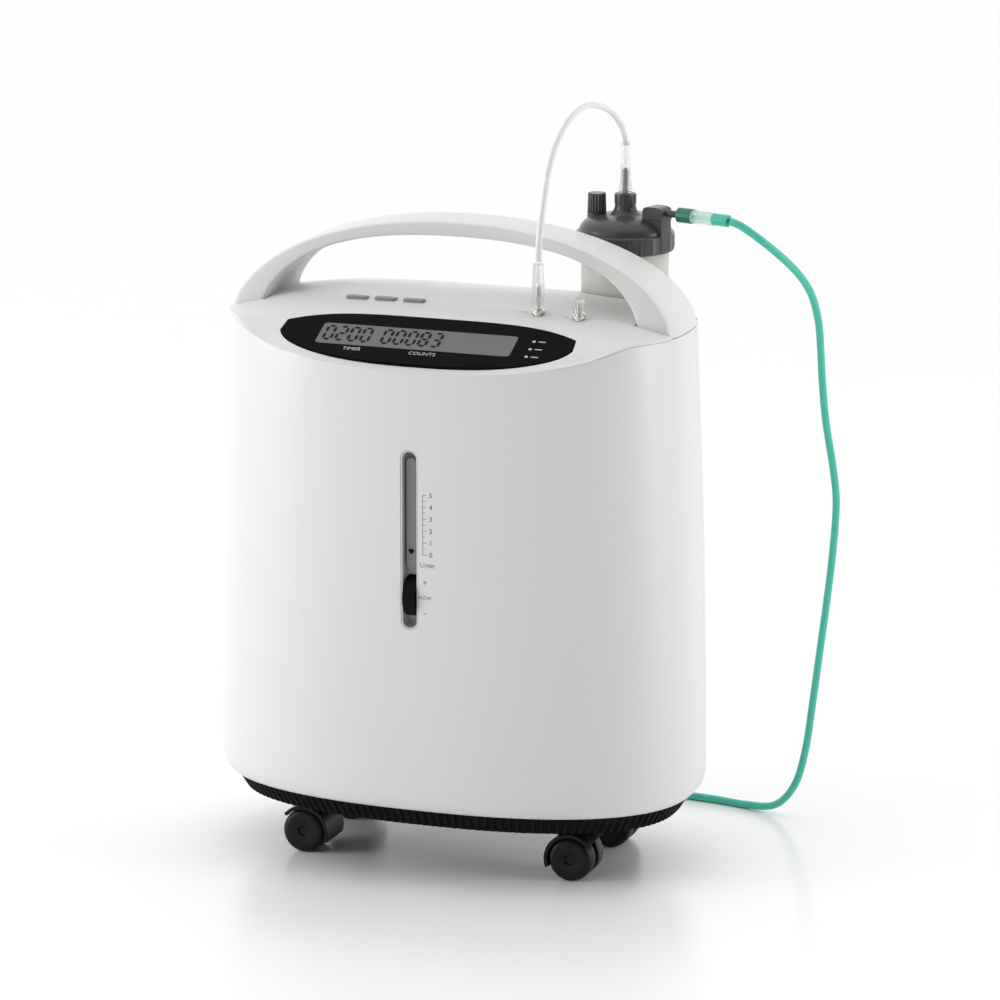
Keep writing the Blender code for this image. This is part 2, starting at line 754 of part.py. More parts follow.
def power_entry():
    turn = (0, 0, POWER_TURN)
    inlet_x = -0.017
    rocker_x = 0.018
    panel = add("power_panel", box((0.072, 0.0140, 0.034), bevel=0.001), BLACK, POWER_POINT, turn)
    boolean(panel, helper(box((0.0286, 0.05, 0.0206), (inlet_x, 0, 0)), POWER_POINT, turn))
    boolean(panel, helper(box((0.0146, 0.05, 0.0216), (rocker_x, 0, 0)), POWER_POINT, turn))

    body = box((0.028, 0.0160, 0.020), (inlet_x, -0.0010, 0), 0.001)
    socket = add("power_inlet", body, BLACK, POWER_POINT, turn)
    boolean(socket, helper(box((0.0236, 0.0240, 0.0156), (inlet_x, 0.0080, 0)), POWER_POINT, turn))

    # Side view of the rocker, as (y, z): the lower half stands out.
    outline = ((0.0, -0.0098), (0.0030, -0.0098), (0.0012, 0.0), (0.0006, 0.0098), (-0.0010, 0.0098), (-0.0060, 0.0))
    rocker = loft([[(x, y, z) for y, z in outline] for x in (-0.0066, 0.0066)])
    pivot = Matrix.Rotation(POWER_TURN, 3, "Z") @ Vector((rocker_x, 0.0062, 0))
    add("power_rocker", rocker, BLACK, Vector(POWER_POINT) + pivot, turn)


# ---------------------------------------------------------------- humidifier


def humidifier():
    well()
    jar()
    lid()
    cap = lathe(((0, 0.0168), (0.0070, 0.0168), (0.0082, 0.0155), (0.0085, 0.0), (0, 0.0)), 24)
    add("relief_valve", cap, DARK_GREY, Vector(BOTTLE) + Vector(VALVE_OFFSET) + Vector((0, 0, VALVE_BASE + GAP)))
    spigot = ((0, SPIGOT_TOP), (0.0024, SPIGOT_TOP), (0.0031, SPIGOT_TOP - 0.003), (0.0031, 0.5620), (0, 0.5620))
    add("lid_inlet_spigot", lathe(spigot, 16), DARK_GREY, BOTTLE)
    add("dip_tube", tube(0.0040, 0.0028, 0.4150, 0.5610, 16), CLEAR, BOTTLE)
    outlet_elbow()


def well():
    """Cup that holds the jar, cut low at the rear where it stands outside the housing."""
    floor = JAR_BOTTOM - 0.0032
    inner = WELL_RADIUS - 0.0024
    profile = (
        (0, floor + 0.0026),
        (inner, floor + 0.0026),
        (inner, 0.4910),
        (WELL_RADIUS, 0.4910),
        (WELL_RADIUS, floor),
        (0, floor),
    )
    cup = add("humidifier_well", lathe(profile, 28), WHITE, BOTTLE)
    cutter = box((0.12, 0.12, 0.16), (0, 0.0600, floor + 0.020 + 0.08))
    boolean(cup, helper(cutter, BOTTLE, (0, 0, math.radians(-20))))


def jar():
    r = JAR_RADIUS
    neck = r - 0.002
    shoulder = LID_BOTTOM - GAP
    profile = (
        (0, JAR_BOTTOM),
        (r - 0.003, JAR_BOTTOM),
        (r, JAR_BOTTOM + 0.003),
        (r, shoulder),
        (neck, shoulder),
        (neck, 0.5560),
        (neck - 0.002, 0.5560),
        (neck - 0.002, shoulder - 0.003),
        (neck, shoulder - 0.005),
        (neck, JAR_BOTTOM + 0.004),
        (neck - 0.002, JAR_BOTTOM + 0.002),
        (0, JAR_BOTTOM + 0.002),
    )
    add("humidifier_jar", lathe(profile, 28), JAR_WHITE, BOTTLE)


def lid():
    inner = JAR_RADIUS - 0.002 + 2 * GAP
    profile = (
        (0.0095, PORT_TOP),
        (0.0095, 0.5815),
        (0.0135, 0.5780),
        (0.0270, 0.5735),
        (0.0380, 0.5665),
        (0.0415, 0.5625),
        (LID_RADIUS, 0.5605),
        (LID_RADIUS, LID_BOTTOM),
        (inner, LID_BOTTOM),
        (inner, 0.5580),
        (0.0290, 0.5645),
        (0.0100, 0.5710),
        (0.0036, 0.5710),
        (0.0036, PORT_TOP),
    )
    cap = add("humidifier_lid", lathe(profile, 28), DARK_GREY, BOTTLE)
    boolean(cap, helper(moved(rod(0.0087, 0.5640, VALVE_BASE, 20), VALVE_OFFSET), BOTTLE), "UNION")
    pad = box((0.0205, 0.0155, PAD_TOP - 0.5565), (0.0335, 0, (PAD_TOP + 0.5565) / 2))
    boolean(cap, helper(pad, BOTTLE, (0, 0, ELBOW_ANGLE)), "UNION")


def outlet_elbow():
    """Block on the lid that turns the gas sideways into a barb."""
    low = PAD_TOP + GAP
    high = 0.5870
    turn = (0, 0, ELBOW_ANGLE)
    body = box((0.0215, 0.0160, high - low), (0.0340, 0, (low + high) / 2), 0.0015)
    block = add("lid_outlet_elbow", body, DARK_GREY, BOTTLE, turn)
    barb = lathe(((0, 0.0670), (0.0022, 0.0670), (0.0031, 0.0630), (0.0031, 0.0400), (0, 0.0400)), 16)
    boolean(block, helper(moved(turned(barb, "Y"), (0, 0, BARB_Z)), BOTTLE, turn), "UNION")


# ---------------------------------------------------------------- tubing


def smooth_points(route, spacing):
    """Points every `spacing` along a Catmull-Rom curve through the route."""
    points = [Vector(point) for point in route]
    points = [2 * points[0] - points[1]] + points + [2 * points[-1] - points[-2]]
    fine = []
    for a, b, c, d in zip(points, points[1:], points[2:], points[3:]):
        for i in range(24):
            t = i / 24
            bend = (2 * a - 5 * b + 4 * c - d) * t**2 + (3 * b - a - 3 * c + d) * t**3
            fine.append(0.5 * (2 * b + (c - a) * t + bend))
    fine.append(points[-2])
    total = sum((q - p).length for p, q in zip(fine, fine[1:]))
    count = round(total / spacing)
    wanted = [total * i / count for i in range(1, count)]
    result = [fine[0]]
    walked = 0.0
    for p, q in zip(fine, fine[1:]):
        step = (q - p).length
        while wanted and walked + step >= wanted[0]:
            result.append(p.lerp(q, (wanted.pop(0) - walked) / step))
        walked += step
    return result + [fine[-1]]


def tube_curve(name, route, diameter, spacing, finish):
    points = smooth_points(route, spacing * diameter)
    curve = bpy.data.curves.new(name, "CURVE")
    curve.dimensions = "3D"
    curve.bevel_depth = diameter / 2
    curve.bevel_resolution = 1
    curve.use_fill_caps = True
    spline = curve.splines.new("POLY")
    spline.points.add(len(points) - 1)
    for target, point in zip(spline.points, points):
        target.co = (*point, 1.0)
    curve.materials.append(material(name, finish))
    obj = bpy.data.objects.new(name, curve)
    bpy.context.scene.collection.objects.link(obj)


def jumper():
    """Short tube from the oxygen outlet up and back to the bottle's lid."""
    x, y = OUTLET_XY
    low = 0.5155
    top = JUMPER_ROUTE[0][2] - TUBE_END_GAP - low
    profile = (
        (0.0046, top),
        (0.0055, 0.022),
        (0.0057, 0.0),
        (0.0024, 0.0),
        (0.0024, 0.0195),
        (0.0010, 0.0215),
        (0.0010, top),
    )
    add("jumper_connector_lower", lathe(profile, 16), CLEAR, (x, y, low))
    low = PORT_TOP + GAP
    top = JUMPER_ROUTE[-1][2] - TUBE_END_GAP - low
    profile = (
        (0.0050, top),
        (0.0043, 0.030),
        (0.0048, 0.014),
        (0.0062, 0.0),
        (0.0036, 0.0),
        (0.0036, 0.0235),
        (0.0015, 0.0260),
        (0.0015, top),
    )
    add("jumper_connector_upper", lathe(profile, 16), CLEAR, (BOTTLE[0], BOTTLE[1], low))
    tube_curve("jumper_tube", JUMPER_ROUTE, JUMPER_DIAMETER, 2.2, MILKY)


def supply_line():
    """Long tube from the bottle's outlet to the floor and into a coil behind the housing."""
    at = (BOTTLE[0], BOTTLE[1], BARB_Z)
    turn = (0, math.pi / 2, ELBOW_ANGLE)
    add("supply_collar", tube(0.00675, 0.0037, 0.0576, 0.0722, 16), DARK_GREEN, at, turn)
    add("supply_sleeve", tube(0.0060, 0.0022, 0.0725, 0.0944, 16), CLEAR, at, turn)
    add("supply_cuff", tube(0.0055, 0.0022, 0.0947, 0.1096, 16), GREEN, at, turn)
    tube_curve("supply_tube", SUPPLY_ROUTE, SUPPLY_DIAMETER, 2.9, GREEN)

    ring = []
    for i in range(10):
        angle = 2 * math.pi * i / 10
        across = COIL_RADIUS + COIL_HALF_WIDTH * math.cos(angle)
        ring.append((across, 0.0002 + COIL_HEIGHT / 2 * (1 - math.sin(angle))))
    add("supply_tube_coil", lathe(ring, 24), GREEN, COIL_CENTRE)
    socket = (
        (0, 0.0),
        (0.0036, 0.0),
        (0.0058, 0.008),
        (0.0058, 0.030),
        (0.0030, 0.030),
        (0.0030, 0.010),
        (0, 0.010),
    )
    end = turned(lathe(socket, 20), "Y", math.pi / 2)
    add("supply_end_connector", end, DARK_GREEN, (COIL_CENTRE[0] + 0.012, COIL_CENTRE[1] + 0.0545, 0.0062))


# ---------------------------------------------------------------- inner works


def inner_works():
    plate = add("chassis_plate", box((0.300, 0.150, 0.0030), (0, 0, PLATE_TOP - 0.0015)), ZINC)
    legs = [(x, y, 0.0608) for x in (-0.065, 0.065) for y in (-0.050, 0.050)]
    boolean(plate, helper(boxes((0.016, 0.016, 0.0130), legs)), "UNION")
    floor = PLATE_TOP + GAP
    compressor(floor)
    for name, y in (("sieve_bed_a", -0.042), ("sieve_bed_b", 0.030)):
        bed = ((0, 0.230), (0.010, 0.230), (0.028, 0.222), (0.028, 0.008), (0.022, 0.0), (0, 0.0))
        add(name, lathe(bed, 24), ALUMINIUM, (0.035, y, floor))
    tank = ((0, 0.190), (0.012, 0.190), (0.027, 0.178), (0.027, 0.010), (0.018, 0.0), (0, 0.0))
    add("oxygen_tank", lathe(tank, 24), GREY_PLASTIC, (0.108, -0.030, floor))
    add("valve_manifold", box((0.090, 0.060, 0.030), (0.060, -0.010, floor + 0.2455), 0.002), BRASS)
    capacitor = lathe(((0, 0.062), (0.016, 0.062), (0.018, 0.060), (0.018, 0.0), (0, 0.0)), 20)
    add("run_capacitor", capacitor, GREY_PLASTIC, (0.108, 0.040, floor))
    heat_exchanger()
    cooling_fan()


def compressor(floor):
    """Twin-head piston pump: a motor drum between two cylinder heads, on one foot."""
    at = (-0.085, -0.010, floor)
    drum = moved(turned(rod(0.040, -0.045, 0.045, 22), "Y"), (0, 0, 0.058))
    body = add("compressor", drum, ALUMINIUM, at)
    for side in (-1, 1):
        boolean(body, helper(box((0.034, 0.050, 0.098), (side * 0.054, 0, 0.058), 0.004), at), "UNION")
    boolean(body, helper(box((0.120, 0.070, 0.022), (0, 0, 0.011), 0.002), at), "UNION")


def heat_exchanger():
    """Finned cooler for the compressed air: a comb of plates on one backing block."""
    fins = 9
    pitch = 0.009
    outline = [(0.0, 0.0)]
    for i in range(fins):
        outline += [(i * pitch, 0.024), (i * pitch + 0.003, 0.024)]
        if i < fins - 1:
            outline += [(i * pitch + 0.003, 0.006), ((i + 1) * pitch, 0.006)]
    outline.append(((fins - 1) * pitch + 0.003, 0.0))
    add("heat_exchanger", prism(outline, 0.0, 0.080), ALUMINIUM, (-0.155, 0.055, 0.190))


def cooling_fan():
    at = (REAR_X, 0.1080, GRILLE_Z)
    frame = add("fan_frame", box((0.080, 0.025, 0.080), bevel=0.002), BLACK, at)
    boolean(frame, helper(turned(rod(0.0375, -0.03, 0.03, 24), "X"), at))
    boolean(frame, helper(box((0.078, 0.003, 0.012), (0, -0.0107, 0)), at), "UNION")
    blades = 7
    outline = []
    for i in range(blades):
        start = 2 * math.pi * i / blades
        for radius, turn in ((0.015, 0.0), (0.035, 0.18), (0.035, 0.40), (0.015, 0.42)):
            outline.append((radius * math.cos(start + turn), radius * math.sin(start + turn)))
    rotor = turned(prism(outline, -0.009, 0.009), "X")
    add("fan_rotor", moved(rotor, (0, 0.0010, 0)), BLACK, at)


clear_scene()
front_shell()
rear_shell()
top_cover()
carry_handle()
display()
buttons()
outlet_nozzles()
base_tray()
casters()
flowmeter()
rear_fittings()
power_entry()
humidifier()
jumper()
supply_line()
inner_works()
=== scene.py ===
"""Looks of the home oxygen concentrator: camera, tubes, smooth pieces, materials and light."""

import math

import bmesh
import bpy
from mathutils import Matrix, Vector


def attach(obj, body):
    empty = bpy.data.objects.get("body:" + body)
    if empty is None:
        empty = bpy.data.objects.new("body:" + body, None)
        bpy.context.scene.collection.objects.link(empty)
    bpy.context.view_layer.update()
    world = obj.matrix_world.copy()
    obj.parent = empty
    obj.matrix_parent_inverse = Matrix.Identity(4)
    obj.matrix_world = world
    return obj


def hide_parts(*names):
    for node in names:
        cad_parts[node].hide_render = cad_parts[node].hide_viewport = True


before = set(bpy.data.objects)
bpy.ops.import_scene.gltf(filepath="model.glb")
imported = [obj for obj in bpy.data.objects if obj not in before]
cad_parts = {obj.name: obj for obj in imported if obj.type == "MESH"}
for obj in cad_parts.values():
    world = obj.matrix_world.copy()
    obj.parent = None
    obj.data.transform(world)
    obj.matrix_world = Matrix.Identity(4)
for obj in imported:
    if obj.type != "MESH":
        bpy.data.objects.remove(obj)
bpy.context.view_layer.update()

# Dimensions of the CAD model, in metres
HALF_WIDTH = 0.225
HALF_WIDTH_TOP = 0.213
HALF_DEPTH = 0.134
PLAN_POWER = 2.4
SHELL_BOTTOM = 0.068
FULL_WIDTH_Z = 0.091
SIDE_SEAM_Z = 0.4935
WALL = 0.003
GAP = 0.0003
SPLIT_Y = 0.020
TRAY_BOTTOM = 0.051
CROWN_Z = 0.515
CROWN_Y = -0.005
CROWN_RIM_Z = 0.4955
FACET_SLOPE = 0.47
FACET_ANGLE = math.atan(FACET_SLOPE)
FACET_TOP = (-0.064, 0.503)
PANEL_HALF_LENGTH = 0.139
PANEL_TIP_Y = -0.0812
PANEL_TOP_Y = -0.0640
PANEL_BOTTOM_DEPTH = 0.0450
BUTTON_X = (-0.085, -0.058, -0.031)
BUTTON_Y = -0.038
OUTLET_XY = (0.088, -0.045)
SPARE_XY = (0.126, -0.045)
HANDLE_Y = 0.0075
HANDLE_HALF_DEPTH = 0.0255
HANDLE_FOOT_HALF_DEPTH = 0.0435
HANDLE_FOOT = ((0.2125, 0.4938), (0.1740, 0.4938))
HANDLE_OUTER = ((0.2078, 0.5050), (0.1800, 0.5500), (0.105, 0.5810), (0.0, 0.5810))
HANDLE_INNER = ((0.1740, 0.5050), (0.1560, 0.5490), (0.100, 0.5674), (0.0, 0.5674))
BEZEL_Z = (0.237, 0.399)
BEZEL_HALF_WIDTH = 0.008
KNOB = (0.0, -0.121, 0.2654)
KNOB_RADIUS = 0.018
SCALE_Z = (0.306, 0.3597)
BOTTLE = (0.121, 0.095, 0.0)
WELL_RADIUS = 0.0425
JAR_RADIUS = 0.0395
JAR_BOTTOM = 0.395
LID_RADIUS = 0.044
LID_BOTTOM = 0.545
PORT_TOP = 0.5957
PAD_TOP = 0.5755
VALVE_BASE = 0.5772
ELBOW_ANGLE = math.radians(-15)
BARB_Z = 0.5817
CASTER_X = 0.114
CASTER_Y = (-0.053, 0.055)
CASTER_TRAIL = 0.014
WHEEL_RADIUS = 0.020
HOOD_RADIUS = 0.0242
HOOD_WIDTH = 0.040
AXLE_Z = 0.01962
REAR_X = -0.020
GRILLE_Z = 0.180
FILTER_Z = 0.330
POWER_POINT = (0.088, 0.1215, 0.115)
POWER_TURN = math.radians(-10.3)

# Tubes. The supply tube's coil is wound by a loop; the rest of each route is a list of points.
JUMPER_DIAMETER = 0.006
SUPPLY_DIAMETER = 0.007
JUMPER_ROUTE = (
    (0.0880, -0.0450, 0.5560),
    (0.0878, -0.0437, 0.5680),
    (0.0880, -0.0405, 0.5830),
    (0.0887, -0.0350, 0.6050),
    (0.0905, -0.0275, 0.6320),
    (0.0930, -0.0140, 0.6550),
    (0.0975, 0.0090, 0.6745),
    (0.1030, 0.0330, 0.6825),
    (0.1085, 0.0530, 0.6810),
    (0.1140, 0.0722, 0.6730),
    (0.1180, 0.0858, 0.6610),
    (0.1203, 0.0930, 0.6490),
    (0.1210, 0.0950, 0.6390),
)
SUPPLY_ROUTE = (
    (0.2290, 0.0661, 0.5816),
    (0.2405, 0.0655, 0.5774),
    (0.2586, 0.0740, 0.5625),
    (0.2750, 0.0890, 0.5436),
    (0.2841, 0.1050, 0.5265),
    (0.2895, 0.1200, 0.5071),
    (0.2917, 0.1330, 0.4819),
    (0.2910, 0.1430, 0.4560),
    (0.2903, 0.1520, 0.4240),
    (0.2925, 0.1580, 0.3850),
    (0.2985, 0.1635, 0.3400),
    (0.3010, 0.1660, 0.3080),
    (0.2980, 0.1680, 0.2634),
    (0.2927, 0.1690, 0.2155),
    (0.2865, 0.1700, 0.1673),
    (0.2799, 0.1720, 0.1185),
    (0.2725, 0.1750, 0.0700),
    (0.2610, 0.1800, 0.0330),
    (0.2400, 0.1880, 0.0095),
    (0.2100, 0.1970, 0.0037),
    (0.1700, 0.2050, 0.0036),
    (0.1200, 0.2080, 0.0036),
    (0.0700, 0.2040, 0.0036),
    (0.0300, 0.1985, 0.0036),
)
COIL_CENTRE = (-0.012, 0.238, 0.0093)
COIL_RADIUS = 0.0385
COIL_TURNS = 3.361
COIL_BUNDLE_RADIUS = 0.0051
CONNECTOR_LEAD = (
    (-0.0380, 0.2745, 0.0076),
    (-0.0290, 0.2835, 0.0071),
    (-0.0180, 0.2900, 0.0066),
    (-0.0080, 0.2922, 0.0063),
    (-0.0002, 0.2925, 0.0062),
)


# ---------------------------------------------------------------- mesh helpers


def placed(name, bm, location=(0, 0, 0), rotation=(0, 0, 0), crease=32):
    bmesh.ops.recalc_face_normals(bm, faces=bm.faces)
    mesh = bpy.data.meshes.new(name)
    bm.to_mesh(mesh)
    bm.free()
    mesh.shade_smooth()
    mesh.set_sharp_from_angle(angle=math.radians(crease))
    obj = bpy.data.objects.new(name, mesh)
    bpy.context.scene.collection.objects.link(obj)
    obj.location = location
    obj.rotation_euler = rotation
    return obj


def combined(obj, others, operation="DIFFERENCE"):
    """Applies Booleans with the other objects, which are then removed."""
    for other in others:
        modifier = obj.modifiers.new("boolean", "BOOLEAN")
        modifier.operation = operation
        modifier.solver = "EXACT"
        modifier.object = other
    baked(obj)
    for other in others:
        bpy.data.objects.remove(other, do_unlink=True)
    return obj


def baked(obj, crease=32):
    """Applies the object's modifiers to its mesh."""
    bpy.context.view_layer.update()
    graph = bpy.context.evaluated_depsgraph_get()
    mesh = bpy.data.meshes.new_from_object(obj.evaluated_get(graph))
    obj.modifiers.clear()
    obj.data = mesh
    mesh.shade_smooth()
    mesh.set_sharp_from_angle(angle=math.radians(crease))


def rounded(obj, width, segments=3, angle=40):
    modifier = obj.modifiers.new("edge", "BEVEL")
    modifier.width = width
    modifier.segments = segments
    modifier.limit_method = "ANGLE"
    modifier.angle_limit = math.radians(angle)
    modifier.harden_normals = True
    return obj


def piece(obj, mat, body, nodes=()):
    """Gives a new piece its material, its body and the CAD nodes it stands for."""
    obj.data.materials.clear()
    obj.data.materials.append(mat)
    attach(obj, body)
    if nodes:
        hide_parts(*nodes)
    return obj


def bridge(bm, loops):
    count = len(loops[0])
    for first, second in zip(loops, loops[1:]):
        for i in range(count):
            j = (i + 1) % count
            bm.faces.new((first[i], first[j], second[j], second[i]))


def loft(sections):
    bm = bmesh.new()
    loops = [[bm.verts.new(point) for point in section] for section in sections]
    bridge(bm, loops)
    bm.faces.new(loops[0])
    bm.faces.new(loops[-1])
    return bm


def prism(outline, low, high):
    return loft([[(x, y, low) for x, y in outline], [(x, y, high) for x, y in outline]])


def lathe(profile, segments=64):
    """Turns (radius, z) points about Z. A profile off the axis at both ends closes on itself."""
    bm = bmesh.new()
    angles = [2 * math.pi * i / segments for i in range(segments)]
    rings = []
    for radius, z in profile:
        if radius == 0:
            rings.append([bm.verts.new((0, 0, z))])
        else:
            rings.append([bm.verts.new((radius * math.cos(a), radius * math.sin(a), z)) for a in angles])
    pairs = list(zip(rings, rings[1:]))
    if profile[0][0] > 0 and profile[-1][0] > 0:
        pairs.append((rings[-1], rings[0]))
    for first, second in pairs:
        for i in range(segments):
            j = (i + 1) % segments
            if len(first) == 1:
                bm.faces.new((first[0], second[j], second[i]))
            elif len(second) == 1:
                bm.faces.new((first[i], first[j], second[0]))
            else:
                bm.faces.new((first[i], first[j], second[j], second[i]))
    return bm


def rod(radius, low, high, segments=48):
    return lathe([(0, high), (radius, high), (radius, low), (0, low)], segments)


def box(size, centre=(0, 0, 0)):
    bm = bmesh.new()
    bmesh.ops.create_cube(bm, size=1.0)
    bmesh.ops.scale(bm, vec=size, verts=bm.verts)
    return moved(bm, centre)


def turned(bm, axis, angle=math.pi / 2):
    bmesh.ops.rotate(bm, cent=(0, 0, 0), matrix=Matrix.Rotation(angle, 3, axis), verts=bm.verts)
    return bm


def moved(bm, offset):
    bmesh.ops.translate(bm, vec=offset, verts=bm.verts)
    return bm


def stadium(half_width, low, high, steps=20):
    points = []
    for i in range(steps + 1):
        angle = math.pi * i / steps
        points.append((half_width * math.cos(angle), high - half_width + half_width * math.sin(angle)))
    for i in range(steps + 1):
        angle = math.pi + math.pi * i / steps
        points.append((half_width * math.cos(angle), low + half_width + half_width * math.sin(angle)))
    return points


def rounded_rectangle(half_x, half_y, power=6, steps=48):
    points = []
    for i in range(steps):
        c = math.cos(2 * math.pi * i / steps)
        s = math.sin(2 * math.pi * i / steps)
        x = half_x * math.copysign(abs(c) ** (2 / power), c)
        y = half_y * math.copysign(abs(s) ** (2 / power), s)
        points.append((x, y))
    return points


def bezier(control, t):
    a, b, c, d = (Vector(point) for point in control)
    s = 1 - t
    return a * s**3 + b * 3 * s * s * t + c * 3 * s * t * t + d * t**3


def smooth_points(route, spacing):
    """Points every `spacing` along a Catmull-Rom curve through the route."""
    points = [Vector(point) for point in route]
    points = [2 * points[0] - points[1]] + points + [2 * points[-1] - points[-2]]
    fine = []
    for a, b, c, d in zip(points, points[1:], points[2:], points[3:]):
        for i in range(24):
            t = i / 24
            bend = (2 * a - 5 * b + 4 * c - d) * t**2 + (3 * b - a - 3 * c + d) * t**3
            fine.append(0.5 * (2 * b + (c - a) * t + bend))
    fine.append(points[-2])
    total = sum((q - p).length for p, q in zip(fine, fine[1:]))
    count = round(total / spacing)
    wanted = [total * i / count for i in range(1, count)]
    result = [fine[0]]
    walked = 0.0
    for p, q in zip(fine, fine[1:]):
        step = (q - p).length
        while wanted and walked + step >= wanted[0]:
            result.append(p.lerp(q, (wanted.pop(0) - walked) / step))
        walked += step
    return result + [fine[-1]], total


# ---------------------------------------------------------------- materials


def grained(name, color, roughness, grain=900.0, bump=0.05, metallic=0.0, variation=0.04, specular=0.5):
    """Moulded plastic or metal: fine grain in the bump, slow change in colour and gloss."""
    mat = bpy.data.materials.new(name)
    mat.use_nodes = True
    nodes = mat.node_tree.nodes
    links = mat.node_tree.links
    shader = nodes["Principled BSDF"]
    shader.inputs["Metallic"].default_value = metallic
    shader.inputs["Specular IOR Level"].default_value = specular
    coords = nodes.new("ShaderNodeTexCoord")
    fine = nodes.new("ShaderNodeTexNoise")
    fine.inputs["Scale"].default_value = grain
    fine.inputs["Detail"].default_value = 2.0
    slow = nodes.new("ShaderNodeTexNoise")
    slow.inputs["Scale"].default_value = 6.0
    slow.inputs["Detail"].default_value = 3.0
    for noise in (fine, slow):
        links.new(coords.outputs["Object"], noise.inputs["Vector"])
    gloss = nodes.new("ShaderNodeMapRange")
    gloss.inputs["To Min"].default_value = max(0.02, roughness - 0.06)
    gloss.inputs["To Max"].default_value = roughness + 0.06
    links.new(slow.outputs["Fac"], gloss.inputs["Value"])
    links.new(gloss.outputs["Result"], shader.inputs["Roughness"])
    mix = nodes.new("ShaderNodeMix")
    mix.data_type = "RGBA"
    mix.inputs["A"].default_value = (*(c * (1 - variation) for c in color), 1.0)
    mix.inputs["B"].default_value = (*(min(1.0, c * (1 + variation)) for c in color), 1.0)
    links.new(slow.outputs["Fac"], mix.inputs["Factor"])
    links.new(mix.outputs["Result"], shader.inputs["Base Color"])
    height = nodes.new("ShaderNodeBump")
    height.inputs["Strength"].default_value = bump
    height.inputs["Distance"].default_value = 0.0004
    links.new(fine.outputs["Fac"], height.inputs["Height"])
    links.new(height.outputs["Normal"], shader.inputs["Normal"])
    return mat


def clear(name, color, roughness, transmission, alpha=1.0):
    """Clear or milky plastic: a grained surface that lets light through."""
    mat = grained(name, color, roughness, 400.0, 0.02)
    shader = mat.node_tree.nodes["Principled BSDF"]
    shader.inputs["Transmission Weight"].default_value = transmission
    shader.inputs["IOR"].default_value = 1.38
    shader.inputs["Alpha"].default_value = alpha
    return mat


def make_materials():
    return {
        "white": grained("white_satin", (0.74, 0.74, 0.735), 0.36, 1500.0, 0.05, variation=0.012),
        "handle": grained("white_handle", (0.73, 0.725, 0.71), 0.40, 1500.0, 0.06, variation=0.012),
        "black": grained(
            "black_moulded", (0.006, 0.006, 0.007), 0.55, 700.0, 0.2, variation=0.2, specular=0.08
        ),
        "wheel": grained(
            "black_wheel", (0.009, 0.009, 0.010), 0.34, 500.0, 0.08, variation=0.2, specular=0.18
        ),
        "window": grained("black_window", (0.005, 0.005, 0.006), 0.20, 60.0, 0.002, specular=0.02),
        "lcd": grained("lcd_glass", (0.165, 0.166, 0.163), 0.30, 300.0, 0.02, variation=0.08, specular=0.15),
        "digit": grained("lcd_digit", (0.006, 0.006, 0.006), 0.35, 300.0, 0.02, specular=0.1),
        "mark": grained("pale_mark", (0.52, 0.52, 0.52), 0.5, 300.0, 0.02),
        "ink": grained("grey_ink", (0.13, 0.13, 0.135), 0.6, 300.0, 0.02),
        "button": grained("taupe_button", (0.25, 0.225, 0.21), 0.45, 900.0, 0.10),
        "metal": grained("plated_metal", (0.60, 0.575, 0.54), 0.2, 300.0, 0.03, metallic=1.0),
        "lid": grained("dark_lid", (0.062, 0.058, 0.058), 0.24, 900.0, 0.05, variation=0.10, specular=0.4),
        "jar": clear("frosted_jar", (0.86, 0.85, 0.81), 0.32, 0.35, 0.92),
        "clear": clear("clear_socket", (0.90, 0.91, 0.91), 0.10, 0.75, 0.55),
        "milky": clear("milky_tube", (0.90, 0.905, 0.91), 0.28, 0.10),
        "green": clear("green_tube", (0.10, 0.66, 0.50), 0.22, 0.25),
        "pale_green": clear("pale_green_sleeve", (0.66, 0.93, 0.84), 0.15, 0.6, 0.7),
        "dark_green": grained("dark_green", (0.012, 0.17, 0.105), 0.38, 500.0, 0.12),
        "channel": grained("channel_grey", (0.62, 0.62, 0.62), 0.4, 900.0, 0.05),
        "slot_glass": grained("slot_glass", (0.21, 0.195, 0.185), 0.16, 200.0, 0.02),
        "foam": grained("foam", (0.05, 0.05, 0.055), 0.95, 1200.0, 0.9, variation=0.4),
        "board": grained("board", (0.02, 0.14, 0.06), 0.4, 250.0, 0.3),
        "aluminium": grained("cast_aluminium", (0.62, 0.63, 0.64), 0.42, 350.0, 0.30, metallic=1.0),
        "zinc": grained("zinc_sheet", (0.52, 0.53, 0.54), 0.38, 120.0, 0.10, metallic=1.0, variation=0.12),
        "brass": grained("machined_brass", (0.68, 0.50, 0.24), 0.30, 200.0, 0.12, metallic=1.0),
        "grey": grained("grey_plastic", (0.42, 0.43, 0.44), 0.48, 700.0, 0.12),
    }


# ---------------------------------------------------------------- camera, light and floor


def make_camera():
    data = bpy.data.cameras.new("camera")
    data.lens = 194.04
    data.sensor_width = 36.0
    data.clip_end = 60.0
    camera = bpy.data.objects.new("camera", data)
    bpy.context.scene.collection.objects.link(camera)
    camera.location = (1.644, -4.416, 1.467)
    aim = Vector((0.0359, 0.0, 0.3269)) - camera.location
    camera.rotation_euler = aim.to_track_quat("-Z", "Y").to_euler()
    bpy.context.scene.camera = camera


def area_light(name, location, target, size, power):
    data = bpy.data.lights.new(name, "AREA")
    data.shape = "RECTANGLE"
    data.size, data.size_y = size
    data.energy = power
    light = bpy.data.objects.new(name, data)
    bpy.context.scene.collection.objects.link(light)
    light.location = location
    light.rotation_euler = (Vector(target) - Vector(location)).to_track_quat("-Z", "Y").to_euler()


